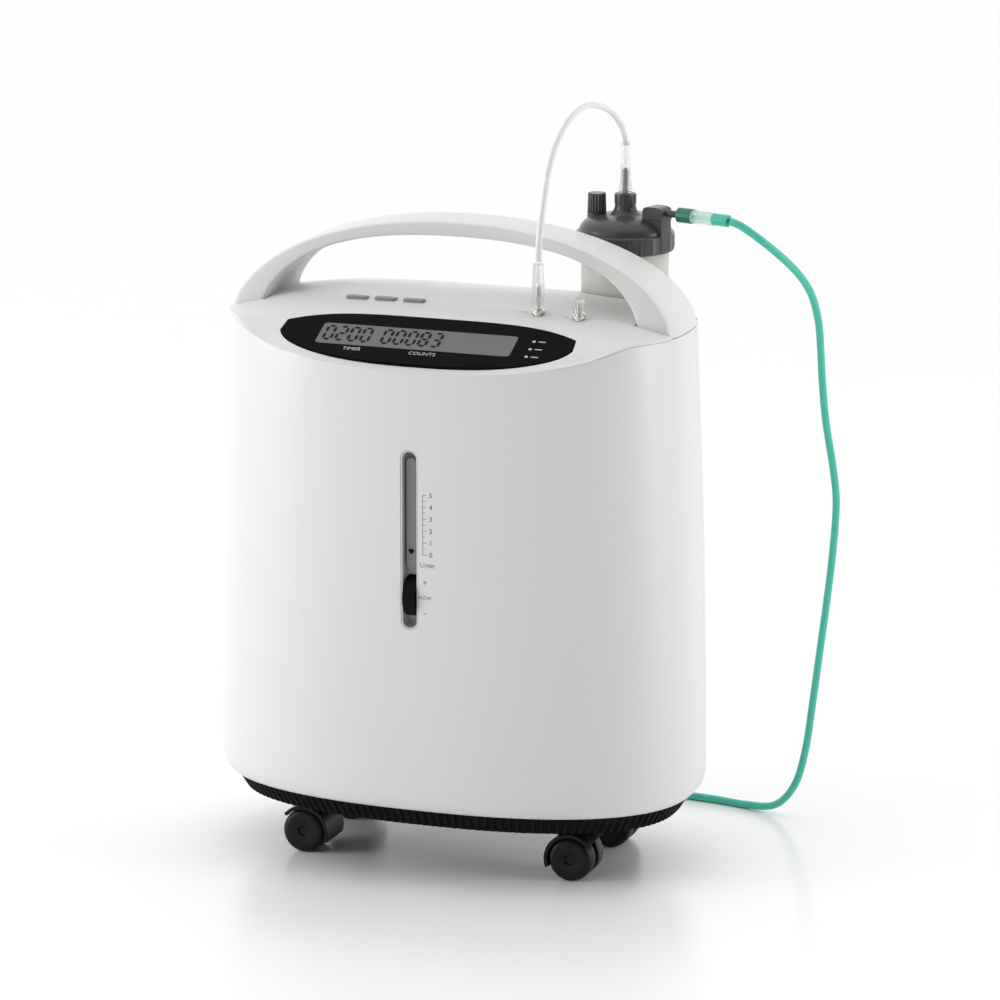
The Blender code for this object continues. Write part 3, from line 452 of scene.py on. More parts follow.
def make_studio():
    world = bpy.data.worlds.new("studio")
    bpy.context.scene.world = world
    world.use_nodes = True
    nodes = world.node_tree.nodes
    links = world.node_tree.links
    # White surroundings, with a dark flag at the front right that shapes the housing.
    coords = nodes.new("ShaderNodeTexCoord")
    toward = nodes.new("ShaderNodeVectorMath")
    toward.operation = "DOT_PRODUCT"
    toward.inputs[1].default_value = (0.60, -0.77, 0.22)
    links.new(coords.outputs["Generated"], toward.inputs[0])
    flag = nodes.new("ShaderNodeMapRange")
    flag.interpolation_type = "SMOOTHSTEP"
    flag.inputs["From Min"].default_value = 0.36
    flag.inputs["From Max"].default_value = 0.95
    flag.inputs["To Min"].default_value = 1.16
    flag.inputs["To Max"].default_value = 0.02
    links.new(toward.outputs["Value"], flag.inputs["Value"])
    background = nodes["Background"]
    background.inputs["Color"].default_value = (1.0, 1.0, 1.0, 1.0)
    links.new(flag.outputs["Result"], background.inputs["Strength"])
    area_light("key_left", (-2.6, -1.5, 0.9), (0, 0, 0.3), (1.2, 1.6), 32)
    area_light("edge_right", (2.4, 0.1, 0.8), (0.1, 0, 0.3), (0.5, 1.4), 17)
    bm = bmesh.new()
    bmesh.ops.create_grid(bm, x_segments=8, y_segments=8, size=14.0)
    floor = placed("floor", bm)
    paper = grained("floor_paper", (0.93, 0.93, 0.93), 0.24, 40.0, 0.001, variation=0.004)
    floor.data.materials.append(paper)
    scene = bpy.context.scene
    scene.view_settings.view_transform = "Standard"
    scene.view_settings.look = "None"
    scene.view_settings.exposure = 0.0


# ---------------------------------------------------------------- tubes


def tube_piece(name, points, diameter, mat, nodes):
    curve = bpy.data.curves.new(name, "CURVE")
    curve.dimensions = "3D"
    curve.bevel_depth = diameter / 2
    curve.bevel_resolution = 6
    curve.use_fill_caps = True
    spline = curve.splines.new("POLY")
    spline.points.add(len(points) - 1)
    for target, point in zip(spline.points, points):
        target.co = (*point, 1.0)
    spline.use_smooth = True
    obj = bpy.data.objects.new(name, curve)
    bpy.context.scene.collection.objects.link(obj)
    return piece(obj, mat, "housing", nodes)


def coil_points():
    """Clockwise turns, seen from above, that also wind round the middle of their bundle."""
    steps = round(COIL_TURNS * 30)
    points = []
    for i in range(1, steps + 1):
        turns = COIL_TURNS * i / steps
        angle = -math.pi / 2 - 2 * math.pi * turns
        lie = math.radians(-72) - math.pi / 2 * turns
        reach = COIL_RADIUS + COIL_BUNDLE_RADIUS * math.cos(lie)
        x = COIL_CENTRE[0] + reach * math.cos(angle)
        y = COIL_CENTRE[1] + reach * math.sin(angle)
        points.append((x, y, COIL_CENTRE[2] + COIL_BUNDLE_RADIUS * math.sin(lie)))
    return points


def make_tie(mats):
    """Thin strap round the coil's bundle."""
    angle = math.radians(20)
    inner = COIL_BUNDLE_RADIUS + SUPPLY_DIAMETER / 2 + 0.0001
    outer = inner + 0.0005
    bm = bmesh.new()
    loops = []
    for half, width in ((outer, -0.002), (outer, 0.002), (inner, 0.002), (inner, -0.002)):
        loops.append([bm.verts.new((a, b, width)) for a, b in rounded_rectangle(half, half, 2.6, 40)])
    bridge(bm, loops + loops[:1])
    place = (
        COIL_CENTRE[0] + COIL_RADIUS * math.cos(angle),
        COIL_CENTRE[1] + COIL_RADIUS * math.sin(angle),
        COIL_CENTRE[2],
    )
    tie = placed("coil_tie", turned(bm, "X"), place, (0, 0, angle))
    return piece(tie, mats["black"], "housing")


def make_tubes(mats):
    points, length = smooth_points(JUMPER_ROUTE, 0.003)
    jumper = tube_piece("jumper_hose", points, JUMPER_DIAMETER, mats["milky"], ["jumper_tube"])
    route, _ = smooth_points(SUPPLY_ROUTE, 0.004)
    coil = [Vector(point) for point in coil_points()]
    lead, _ = smooth_points(coil[-1:] + [Vector(point) for point in CONNECTOR_LEAD], 0.004)
    points = route + coil + lead[1:]
    supply = tube_piece(
        "supply_hose", points, SUPPLY_DIAMETER, mats["green"], ["supply_tube", "supply_tube_coil"]
    )
    names = ("supply_collar", "supply_sleeve", "supply_cuff", "supply_end_connector")
    [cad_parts[name] for name in names] + [make_tie(mats)]


# ---------------------------------------------------------------- housing surfaces


def plan_point(angle, half_width, half_depth):
    c = math.cos(angle)
    s = math.sin(angle)
    x = half_width * math.copysign(abs(c) ** (2 / PLAN_POWER), c)
    y = half_depth * math.copysign(abs(s) ** (2 / PLAN_POWER), s)
    return x, y


def plan_angles(start, end, steps):
    """Parameters of the plan between two of them, evenly spread along its outline."""
    fine = [start + (end - start) * i / 4000 for i in range(4001)]
    points = [plan_point(angle, HALF_WIDTH, HALF_DEPTH) for angle in fine]
    walked = [0.0]
    for first, second in zip(points, points[1:]):
        walked.append(walked[-1] + math.dist(first, second))
    chosen = []
    j = 0
    for i in range(steps + 1):
        while j < 4000 and walked[j] < walked[-1] * i / steps - 1e-9:
            j += 1
        chosen.append(fine[j])
    return chosen


def plan_half_width(y, half_width):
    return half_width * max(0.0, 1 - abs(y / HALF_DEPTH) ** PLAN_POWER) ** (1 / PLAN_POWER)


def half_width_at(z):
    rise = max(0.0, z - FULL_WIDTH_Z) / (SIDE_SEAM_Z - FULL_WIDTH_Z)
    return HALF_WIDTH - (HALF_WIDTH - HALF_WIDTH_TOP) * rise**1.7


def soft_min(a, b, radius):
    """The smaller of two heights, with a rounded change-over."""
    blend = max(0.0, radius - abs(a - b)) / radius
    return min(a, b) - blend * blend * radius / 4


def facet_z(y):
    return FACET_TOP[1] + FACET_SLOPE * (y - FACET_TOP[0])


def crown_z(x, y):
    fall = 3.0 if y < CROWN_Y else 1.2
    middle = CROWN_Z - fall * (y - CROWN_Y) ** 2
    if middle < CROWN_RIM_Z:
        return middle
    reach = min(1.0, abs(x) / max(0.001, plan_half_width(y, HALF_WIDTH_TOP)))
    return CROWN_RIM_Z + (middle - CROWN_RIM_Z) * (1 - reach**3.5)


def hollow(x, y):
    """Soft hollow below each lower corner of the display."""
    across = (abs(x) - 0.146) / 0.020
    along = (y + 0.1035 - 0.45 * (abs(x) - 0.146)) / 0.0055
    return 0.0022 * math.exp(-across * across - along * along)


def top_z(x, y):
    return soft_min(facet_z(y), crown_z(x, y), 0.0012) - hollow(x, y)


def seam_z(y):
    return soft_min(facet_z(y) - 0.0015, SIDE_SEAM_Z - 0.05 * max(0.0, y - 0.06), 0.004)


def wall_section(angle):
    """One upright slice through the shell wall: up the outside and down the inside."""
    top = seam_z(plan_point(angle, HALF_WIDTH_TOP, HALF_DEPTH)[1]) - 0.0003
    levels = [(SHELL_BOTTOM, 0.0110)]
    for i in range(1, 13):
        a = math.pi / 2 * i / 12
        levels.append((SHELL_BOTTOM + 0.023 * (1 - math.cos(a)), 0.0110 * (1 - math.sin(a))))
    levels += [(FULL_WIDTH_Z + (top - 0.001 - FULL_WIDTH_Z) * i / 14, 0.0) for i in range(1, 15)]
    levels += [(top - 0.0006, 0.00006), (top - 0.0002, 0.0002), (top, 0.0005)]
    outside = []
    inside = []
    for z, inset in levels:
        width = half_width_at(z) - inset
        depth = HALF_DEPTH - inset
        outside.append((*plan_point(angle, width, depth), z))
    for z, inset in (levels[0], levels[6], levels[12], levels[-1]):
        width = half_width_at(z) - inset - WALL
        inside.append((*plan_point(angle, width, HALF_DEPTH - inset - WALL), z))
    return outside + inside[::-1]


def shell_wall(start, end, split_y, steps):
    sections = [wall_section(angle) for angle in plan_angles(start, end, steps)]
    for end_section in (0, -1):
        sections[end_section] = [(x, split_y, z) for x, _, z in sections[end_section]]
    return loft(sections)


def well_cutter():
    return placed("cutter", rod(WELL_RADIUS + GAP, JAR_BOTTOM - 0.0035, 0.56, 96), BOTTLE)


def make_shells(mats):
    seam = math.asin((SPLIT_Y / HALF_DEPTH) ** (PLAN_POWER / 2))
    front = placed("front_shell_skin", shell_wall(-math.pi - seam, seam, SPLIT_Y - 0.00015, 200))
    slot = stadium(BEZEL_HALF_WIDTH + GAP, BEZEL_Z[0] - GAP, BEZEL_Z[1] + GAP)
    combined(front, [placed("cutter", turned(prism(slot, 0.10, 0.16), "X"))])
    piece(front, mats["white"], "housing", ["front_shell"])

    rear = placed("rear_shell_skin", shell_wall(seam, math.pi - seam, SPLIT_Y + 0.00015, 140))
    cutters = [
        placed("cutter", box((0.1206, 0.05, 0.0906), (REAR_X, 0.13, GRILLE_Z))),
        placed("cutter", box((0.0966, 0.05, 0.0666), (REAR_X, 0.13, FILTER_Z))),
        placed("cutter", box((0.0726, 0.05, 0.0346)), POWER_POINT, (0, 0, POWER_TURN)),
        well_cutter(),
    ]
    combined(rear, cutters)
    piece(rear, mats["white"], "housing", ["rear_shell"])


def make_cover(mats):
    angles = plan_angles(0, 2 * math.pi, 240)[:-1]
    scales = [1.0, 0.9985, 0.996, 0.992] + [0.985 - 0.015 * i for i in range(26)]
    scales += [0.56 - 0.07 * i for i in range(8)]
    bm = bmesh.new()

    def ring(scale, drop, inset):
        verts = []
        for angle in angles:
            x, y = plan_point(angle, HALF_WIDTH_TOP - inset, HALF_DEPTH - inset)
            verts.append(bm.verts.new((x * scale, y * scale, top_z(x * scale, y * scale) - drop)))
        return verts

    def edge(inset):
        verts = []
        for angle in angles:
            seam = seam_z(plan_point(angle, HALF_WIDTH_TOP, HALF_DEPTH)[1])
            point = plan_point(angle, HALF_WIDTH_TOP - inset, HALF_DEPTH - inset)
            verts.append(bm.verts.new((*point, seam)))
        return verts

    drops = {1.0: 0.0008, 0.9985: 0.0003, 0.996: 0.0001}
    outer = [ring(scale, drops.get(scale, 0.0), 0.0) for scale in scales]
    inner = [ring(scale, WALL, WALL) for scale in scales[4::3]]
    bridge(bm, outer[::-1] + [edge(0.0002), edge(WALL)] + inner)
    for loop, drop in ((outer[-1], 0.0), (inner[-1], WALL)):
        middle = bm.verts.new((0, 0, top_z(0, 0) - drop))
        for first, second in zip(loop, loop[1:] + loop[:1]):
            bm.faces.new((first, second, middle))
    cover = placed("top_cover_skin", bm)
    window = prism(panel_outline(GAP), -0.03, 0.03)
    cutters = [placed("cutter", window, panel_point(), (FACET_ANGLE, 0, 0))]
    for x in BUTTON_X:
        slot = prism(rounded_rectangle(0.0103, 0.0043), -0.03, 0.03)
        cutters.append(placed("cutter", slot, (x, BUTTON_Y, CROWN_Z)))
    for x, y in (OUTLET_XY, SPARE_XY):
        cutters.append(placed("cutter", rod(0.0044, 0.48, 0.55), (x, y, 0)))
    cutters.append(well_cutter())
    for side in (-1, 1):
        room = box((0.10, 2 * HANDLE_FOOT_HALF_DEPTH + 0.0006, 0.08), (side * 0.2237, HANDLE_Y, 0.50))
        cutters.append(placed("cutter", room))
    combined(cover, cutters)
    piece(cover, mats["white"], "housing", ["top_cover"])


def handle_section(outer, inner, half_depth, side):
    """A rounded section across the strap. Near its foot the outer face follows the plan."""
    middle = (outer + inner) / 2
    points = []
    for along, across in rounded_rectangle(1.0, 1.0, 9.0, 64):
        x, z = middle + (outer - middle) * across
        y = HANDLE_Y + half_depth * along
        nearness = max(0.0, 1 - (z - HANDLE_FOOT[0][1]) / 0.05)
        if across > 0:
            x -= (HALF_WIDTH_TOP - plan_half_width(y, HALF_WIDTH_TOP)) * nearness * across
        points.append((side * x, y, z))
    return points


def make_handle(mats):
    steps = 60
    sections = []
    for side in (-1, 1):
        foot = [Vector(point) for point in HANDLE_FOOT]
        half = [handle_section(*foot, HANDLE_FOOT_HALF_DEPTH, side)]
        for i in range(steps + 1):
            t = i / steps
            flare = (HANDLE_FOOT_HALF_DEPTH - HANDLE_HALF_DEPTH) * (1 - t) ** 2.2
            outer = bezier(HANDLE_OUTER, t)
            inner = bezier(HANDLE_INNER, t)
            half.append(handle_section(outer, inner, HANDLE_HALF_DEPTH + flare, side))
        sections += half if side < 0 else half[::-1][1:]
    piece(placed("carry_handle_skin", loft(sections)), mats["handle"], "housing", ["carry_handle"])


def make_skirt(mats):
    """Tray with upright ribs round its skirt."""
    ribs = 150
    angles = plan_angles(0, 2 * math.pi, ribs * 6)[:-1]
    rings = (
        (0.2030, 0.1120, TRAY_BOTTOM, 0.3),
        (0.2046, 0.1136, TRAY_BOTTOM + 0.0022, 1.0),
        (0.2122, 0.1212, SHELL_BOTTOM - 0.0020, 1.0),
        (0.2130, 0.1220, SHELL_BOTTOM - 0.0003, 1.0),
        (0.2060, 0.1150, SHELL_BOTTOM - 0.0003, 0.0),
        (0.2060, 0.1150, 0.0840, 0.0),
        (0.2030, 0.1120, 0.0840, 0.0),
        (0.1990, 0.1080, TRAY_BOTTOM + WALL, 0.0),
    )
    sections = []
    for width, depth, z, strength in rings:
        section = []
        for i, angle in enumerate(angles):
            cut = 0.0021 * strength * (i % 6 in (3, 4, 5))
            section.append((*plan_point(angle, width - cut, depth - cut), z))
        sections.append(section)
    skirt = placed("base_tray_skin", loft(sections), crease=25)
    piece(skirt, mats["black"], "housing", ["base_tray"])


# ---------------------------------------------------------------- display and controls


def panel_point():
    return (0, PANEL_TIP_Y, facet_z(PANEL_TIP_Y))


def panel_outline(grow=0.0):
    steps = 72
    stretch = 1 / math.cos(FACET_ANGLE)
    points = []
    for i in range(steps + 1):
        u = 0.985 * math.sin(math.pi * (i / steps - 0.5))
        y = -PANEL_BOTTOM_DEPTH * (1 - abs(u) ** 2.5) ** 0.4
        points.append((u * (PANEL_HALF_LENGTH + grow), y * stretch - grow))
    for i in range(1, steps):
        u = 1 - 2 * i / steps
        y = (PANEL_TOP_Y - PANEL_TIP_Y) * (1 - abs(u) ** 4)
        points.append((u * (PANEL_HALF_LENGTH + grow), y * stretch + grow))
    return points


def on_facet(x, y, rise):
    """A place on the display: x across, y in plan, rise above the glass."""
    return (x, y - rise * math.sin(FACET_ANGLE), facet_z(y) + rise * math.cos(FACET_ANGLE))


SEGMENTS = {
    "top": ((-0.42, 1.0), (0.42, 1.0)),
    "middle": ((-0.42, 0.0), (0.42, 0.0)),
    "bottom": ((-0.42, -1.0), (0.42, -1.0)),
    "upper_left": ((-0.52, 0.9), (-0.52, 0.1)),
    "upper_right": ((0.52, 0.9), (0.52, 0.1)),
    "lower_left": ((-0.52, -0.1), (-0.52, -0.9)),
    "lower_right": ((0.52, -0.1), (0.52, -0.9)),
}
DIGITS = {
    "0": "top bottom upper_left upper_right lower_left lower_right",
    "2": "top upper_right middle lower_left bottom",
    "3": "top upper_right middle lower_right bottom",
    "8": "top middle bottom upper_left upper_right lower_left lower_right",
}


def bar(bm, start, end, width, x, y):
    """One flat six-sided segment of a digit."""
    a = Vector(start)
    b = Vector(end)
    along = (b - a).normalized()
    side = Vector((-along.y, along.x)) * width / 2
    outline = [a, a + along * width / 2 + side, b - along * width / 2 + side]
    outline += [b, b - along * width / 2 - side, a + along * width / 2 - side]
    low = [bm.verts.new((x + p.x, y + p.y, 0.0)) for p in outline]
    high = [bm.verts.new((x + p.x, y + p.y, 0.00012)) for p in outline]
    bm.faces.new(high)
    bm.faces.new(low[::-1])
    for i in range(6):
        j = (i + 1) % 6
        bm.faces.new((low[i], low[j], high[j], high[i]))


def digits_mesh(text, left, pitch, half_height, width):
    bm = bmesh.new()
    for i, character in enumerate(text):
        for name in DIGITS[character].split():
            start, end = SEGMENTS[name]
            start = (start[0] * half_height * 0.72, start[1] * half_height)
            end = (end[0] * half_height * 0.72, end[1] * half_height)
            bar(bm, start, end, width, left + i * pitch, 0.0)
    return bm


def text_piece(name, words, size, location, rotation, mat):
    curve = bpy.data.curves.new(name, "FONT")
    curve.body = words
    curve.size = size
    curve.extrude = 0.00004
    curve.align_x = "CENTER"
    curve.align_y = "CENTER"
    obj = bpy.data.objects.new(name, curve)
    bpy.context.scene.collection.objects.link(obj)
    obj.location = location
    obj.rotation_euler = rotation
    bpy.context.view_layer.update()
    graph = bpy.context.evaluated_depsgraph_get()
    mesh = bpy.data.meshes.new_from_object(obj.evaluated_get(graph))
    bpy.data.objects.remove(obj, do_unlink=True)
    made = bpy.data.objects.new(name, mesh)
    bpy.context.scene.collection.objects.link(made)
    made.location = location
    made.rotation_euler = rotation
    return piece(made, mat, "housing")


def make_display(mats):
    tilt = (FACET_ANGLE, 0, 0)
    glass = placed("display_glass", prism(panel_outline(-GAP), -WALL, 0.0004), panel_point(), tilt)
    rounded(glass, 0.0004, 2)
    piece(glass, mats["window"], "housing", ["display_window"])
    screen = prism(rounded_rectangle(0.0910, 0.0147, 24), -0.0001, 0.0001)
    obj = placed("display_screen", screen, on_facet(-0.008, -0.0937, 0.00055), tilt)
    piece(obj, mats["lcd"], "housing")
    for i, (words, left) in enumerate((("0200", -0.0899), ("00083", -0.0355))):
        row = digits_mesh(words, left, 0.0116, 0.0095, 0.0027)
        obj = placed(f"display_digits_{i}", row, on_facet(0.0, -0.0930, 0.00068), tilt)
        piece(obj, mats["digit"], "housing")
    for i, (words, x) in enumerate((("TIMER", -0.062), ("COUNTS", 0.004))):
        place = on_facet(x, -0.1118, 0.0005)
        text_piece(f"display_label_{i}", words, 0.0062, place, tilt, mats["mark"])
    for i, y in enumerate((-0.085, -0.095, -0.105)):
        lamp = lathe([(0, 0.0003), (0.0012, 0.0002), (0.0016, 0.0), (0, 0.0)], 24)
        obj = placed(f"display_lamp_{i}", lamp, on_facet(0.0985, y, 0.0004), tilt)
        piece(obj, mats["mark"], "housing")
        dash = prism(rounded_rectangle(0.0034, 0.0006, 8, 24), 0.0, 0.00015)
        obj = placed(f"display_dash_{i}", dash, on_facet(0.1060, y, 0.0004), tilt)
        piece(obj, mats["mark"], "housing")


def make_buttons(mats):
    for name, x in zip(("timer_up_button", "timer_down_button", "reset_button"), BUTTON_X):
        top = crown_z(x, BUTTON_Y) + 0.0018
        outline = rounded_rectangle(0.0100, 0.0040)
        slab = placed(name + "_cap", prism(outline, -0.0075, 0.0), (x, BUTTON_Y, top))
        rounded(slab, 0.0006, 3)
        piece(slab, mats["button"], name, [name])


def make_outlets(mats):
    for name, (x, y), rise in (
        ("oxygen_outlet_nozzle", OUTLET_XY, 0.0238),
        ("spare_outlet_nozzle", SPARE_XY, 0.0130),
    ):
        profile = [(0, rise), (0.0012, rise), (0.0015, rise - 0.0003), (0.0019, rise - 0.0015)]
        for i in range(4):
            z = rise - 0.003 - 0.0022 * i
            if z > 0.004:
                profile += [(0.0020, z), (0.00165, z - 0.0010)]
        profile += [(0.0018, 0.0034), (0.0034, 0.0028), (0.0034, 0.0018), (0.0056, 0.0016), (0.0060, 0.0012)]
        profile += [(0.0060, 0.0), (0.0040, 0.0), (0.0040, -0.0120), (0, -0.0120)]
        nozzle = placed(name + "_skin", lathe(profile), (x, y, crown_z(x, y) + 0.0018))
        piece(nozzle, mats["metal"], "housing", [name])
    for i, (x, y) in enumerate((OUTLET_XY, SPARE_XY)):
        x -= 0.013
        y += 0.002
        ring = lathe([(0.0024, 0.0001), (0.0024, 0.0), (0.0020, 0.0), (0.0020, 0.0001)], 32)
        obj = placed(f"outlet_mark_{i}", ring, (x, y, top_z(x, y) + 0.0001))
        piece(obj, mats["ink"], "housing")
    x, y = SPARE_XY
    profile = (
        (0, 0.0140),
        (0.0046, 0.0140),
        (0.0052, 0.0134),
        (0.0047, 0.0105),
        (0.0045, 0.0070),
        (0.0050, 0.0030),
        (0.0058, 0.0006),
        (0.0055, 0.0),
        (0.0023, 0.0),
        (0.0023, 0.0115),
        (0, 0.0115),
    )
    cap = placed("spare_outlet_cap_skin", lathe(profile), (x, y, crown_z(x, y) + 0.0048))
    piece(cap, mats["clear"], "spare_outlet_cap", ["spare_outlet_cap"])


def make_flowmeter(mats):
    front = 0.1337
    back = 0.1190
    bezel = placed("flowmeter_channel", turned(prism(stadium(BEZEL_HALF_WIDTH, *BEZEL_Z), back, front), "X"))
    rim = 0.0014
    pocket = stadium(BEZEL_HALF_WIDTH - rim, BEZEL_Z[0] + rim, BEZEL_Z[1] - rim)
    cutters = [
        placed("cutter", turned(prism(pocket, back + 0.0020, front + 0.01), "X")),
        placed("cutter", box((0.0118, 0.02, 2 * KNOB_RADIUS + 0.0015), (0, -back, KNOB[2]))),
    ]
    combined(bezel, cutters)
    rounded(bezel, 0.0004, 2)
    piece(bezel, mats["channel"], "housing", ["flowmeter_bezel"])

    window = placed("flowmeter_window", turned(prism(stadium(0.0050, 0.2900, 0.3915), 0.1236, 0.1292), "X"))
    rounded(window, 0.0010, 3)
    piece(window, mats["slot_glass"], "housing", ["flowmeter_tube"])
    profile = ((0, 0.003), (0.0026, 0.003), (0.0031, 0.0024), (0.0031, 0.001), (0.0009, -0.003), (0, -0.003))
    bobbin = placed("flow_float_skin", lathe(profile, 32), (0, -0.1275, SCALE_Z[0]))
    piece(bobbin, mats["black"], "flow_float", ["flow_float"])

    outline = []
    teeth = 40
    for i in range(teeth * 4):
        r = KNOB_RADIUS - (0.0008 if i % 4 in (2, 3) else 0.0)
        angle = 2 * math.pi * i / (teeth * 4)
        outline.append((r * math.cos(angle), r * math.sin(angle)))
    knob = placed("flow_knob_skin", turned(prism(outline, -0.0055, 0.0055), "Y"), KNOB)
    rounded(knob, 0.0005, 2)
    piece(knob, mats["black"], "flow_knob", ["flow_knob"])
    make_scale(mats)


def make_scale(mats):
    """Flow scale from 0 to 5 beside the tube, with a unit and plus and minus marks."""
    upright = (math.pi / 2, 0, 0)
    low, high = SCALE_Z
    bm = bmesh.new()

    def strip(x, z, half_x, half_z):
        made = bmesh.ops.create_cube(bm, size=1.0)
        bmesh.ops.scale(bm, vec=(2 * half_x, 0.0001, 2 * half_z), verts=made["verts"])
        bmesh.ops.translate(bm, vec=(x, -0.13400, z), verts=made["verts"])

    strip(0.0125, (low + high) / 2, 0.00022, (high - low) / 2)
    for i in range(11):
        long = i % 2 == 0
        half = 0.0019 if long else 0.0012
        strip(0.0125 + half, low + (high - low) * i / 10, half, 0.00022)
    ticks = placed("flow_scale", bm)
    rounded(ticks, 0.00003, 1)
    piece(ticks, mats["ink"], "housing")
    for i in range(6):
        z = low + (high - low) * i / 5
        text_piece(f"flow_number_{i}", str(i), 0.0062, (0.0200, -0.13395, z), upright, mats["ink"])
    text_piece("flow_unit", "L/min", 0.0062, (0.0165, -0.13395, 0.2965), upright, mats["ink"])
    text_piece("flow_plus", "+", 0.0080, (0.0145, -0.13395, 0.2805), upright, mats["ink"])
    text_piece("flow_minus", "-", 0.0080, (0.0145, -0.13395, 0.2530), upright, mats["ink"])
    text_piece("flow_word", "FLOW", 0.0042, (0.0145, -0.13395, 0.2668), upright, mats["ink"])


# ---------------------------------------------------------------- casters


def make_hood(name, x, y, heading, mats):
    axle = (heading * CASTER_TRAIL, 0, AXLE_Z)
    steps = 40
    start = math.radians(-20)
    end = math.radians(140)
    angles = [start + (end - start) * i / steps for i in range(steps + 1)]
    inner = WHEEL_RADIUS + 0.0009
    outline = [(HOOD_RADIUS * math.cos(a), HOOD_RADIUS * math.sin(a)) for a in angles]
    outline += [(inner * math.cos(a), inner * math.sin(a)) for a in angles[::-1]]
    outline = [(-heading * across, up) for across, up in outline]
    fender = moved(turned(prism(outline, -HOOD_WIDTH / 2, HOOD_WIDTH / 2), "X"), axle)
    hood = placed(name + "_skin", fender, (x, y, 0))
    sector = [((HOOD_RADIUS - 0.001) * math.cos(a), (HOOD_RADIUS - 0.001) * math.sin(a)) for a in angles]
    rest = [end + (2 * math.pi + start - end) * i / 16 for i in range(17)]
    sector += [(0.0070 * math.cos(a), 0.0070 * math.sin(a)) for a in rest]
    sector = [(-heading * across, up) for across, up in sector]
    web = placed("joiner", moved(turned(prism(sector, -0.003, 0.003), "X"), axle), (x, y, 0))
    stem = (
        (0, 0.0655),
        (0.0050, 0.0655),
        (0.0050, TRAY_BOTTOM - 0.0003),
        (0.0110, TRAY_BOTTOM - 0.0003),
        (0.0110, 0.0452),
        (0.0028, 0.0362),
        (0, 0.0362),
    )
    combined(hood, [web, placed("joiner", lathe(stem, 48), (x, y, 0))], "UNION")
    rounded(hood, 0.0009, 3, 50)
    return piece(hood, mats["wheel"], name.replace("caster_hood_", "caster_"), [name])


def make_wheels(name, x, y, heading, mats):
    outer = HOOD_WIDTH / 2
    r = WHEEL_RADIUS
    half = [
        (0, outer - 0.0025),
        (0.0040, outer - 0.0025),
        (0.0052, outer - 0.0010),
        (0.0075, outer - 0.0006),
        (0.0110, outer - 0.0004),
        (0.0145, outer),
        (0.0165, outer - 0.0003),
        (r - 0.0016, outer - 0.0012),
        (r - 0.0005, outer - 0.0024),
        (r, outer - 0.0040),
        (r, 0.0048),
        (r - 0.0010, 0.0035),
        (0.0030, 0.0035),
    ]
    profile = half + [(radius, -z) for radius, z in half[::-1]]
    place = (x + heading * CASTER_TRAIL, y, AXLE_Z + 0.0003)
    wheel = placed(name + "_skin", turned(lathe(profile, 72), "X"), place)
    return piece(wheel, mats["wheel"], name.replace("caster_wheels_", "wheels_"), [name])


def make_inlet_pins(mats):
    for i in (-1, 0, 1):
        bm = moved(box((0.0020, 0.0125, 0.0060)), (-0.017 + 0.007 * i, 0.0005, 0))
        pin = placed(f"inlet_pin_{i + 1}", bm, POWER_POINT, (0, 0, POWER_TURN))
        rounded(pin, 0.0004, 2)
        piece(pin, mats["metal"], "housing")


def make_casters(mats):
    names = ("front_left", "front_right", "rear_left", "rear_right")
    places = [(side * CASTER_X, y) for y in CASTER_Y for side in (-1, 1)]
    for name, (x, y) in zip(names, places):
        heading = 1 if x > 0 else -1
        make_hood(f"caster_hood_{name}", x, y, heading, mats)
        make_wheels(f"caster_wheels_{name}", x, y, heading, mats)


# ---------------------------------------------------------------- humidifier


def make_bottle(mats):
    r = JAR_RADIUS
    neck = r - 0.002
    shoulder = LID_BOTTOM - 0.0003
    profile = [(0, JAR_BOTTOM), (r - 0.0040, JAR_BOTTOM)]
    for i in range(1, 7):
        a = math.pi / 2 * i / 6
        profile.append((r - 0.004 + 0.004 * math.sin(a), JAR_BOTTOM + 0.004 * (1 - math.cos(a))))
    for z in (0.470, 0.500, 0.530):
        profile += [(r, z - 0.0012), (r - 0.0005, z), (r, z + 0.0012)]
    profile += [
        (r, shoulder - 0.0008),
        (r - 0.0005, shoulder),
        (neck, shoulder),
        (neck, 0.5560),
        (neck - 0.002, 0.5560),
        (neck - 0.002, shoulder - 0.003),
        (neck, shoulder - 0.005),
        (neck, JAR_BOTTOM + 0.004),
        (neck - 0.002, JAR_BOTTOM + 0.002),
        (0, JAR_BOTTOM + 0.002),
    ]
    jar = placed("humidifier_jar_skin", lathe(profile, 96), BOTTLE)
    piece(jar, mats["jar"], "humidifier_jar", ["humidifier_jar"])
    make_lid(mats)
    make_elbow(mats)
    place = Vector(BOTTLE) + Vector((-0.027, 0, VALVE_BASE + 0.0003))
    valve = placed("relief_valve_skin", fluted(0.0085, 0.0, 0.0168), place)
    rounded(valve, 0.0003, 2)
    piece(valve, mats["lid"], "housing", ["relief_valve"])
    spigot = [(0, 0.618), (0.0018, 0.618), (0.0024, 0.6172)]
    for i in range(6):
        z = 0.6155 - 0.0026 * i
        spigot += [(0.0030, z), (0.0025, z - 0.0012)]
    spigot += [(0.0031, 0.5985), (0.0031, 0.5620), (0, 0.5620)]
    piece(placed("lid_spigot_skin", lathe(spigot, 40), BOTTLE), mats["lid"], "housing", ["lid_inlet_spigot"])


def fluted(radius, low, high, count=18, depth=0.0007):
    """Upright post with flat flutes and a slight draft."""
    sections = []
    for z, draft in ((low, 0.0), (high - 0.0008, 0.0004), (high, 0.0009)):
        section = []
        for i in range(count * 4):
            r = radius - draft - depth * (i % 4 in (2, 3))
            a = 2 * math.pi * i / (count * 4)
            section.append((r * math.cos(a), r * math.sin(a), z))
        sections.append(section)
    return loft(sections)


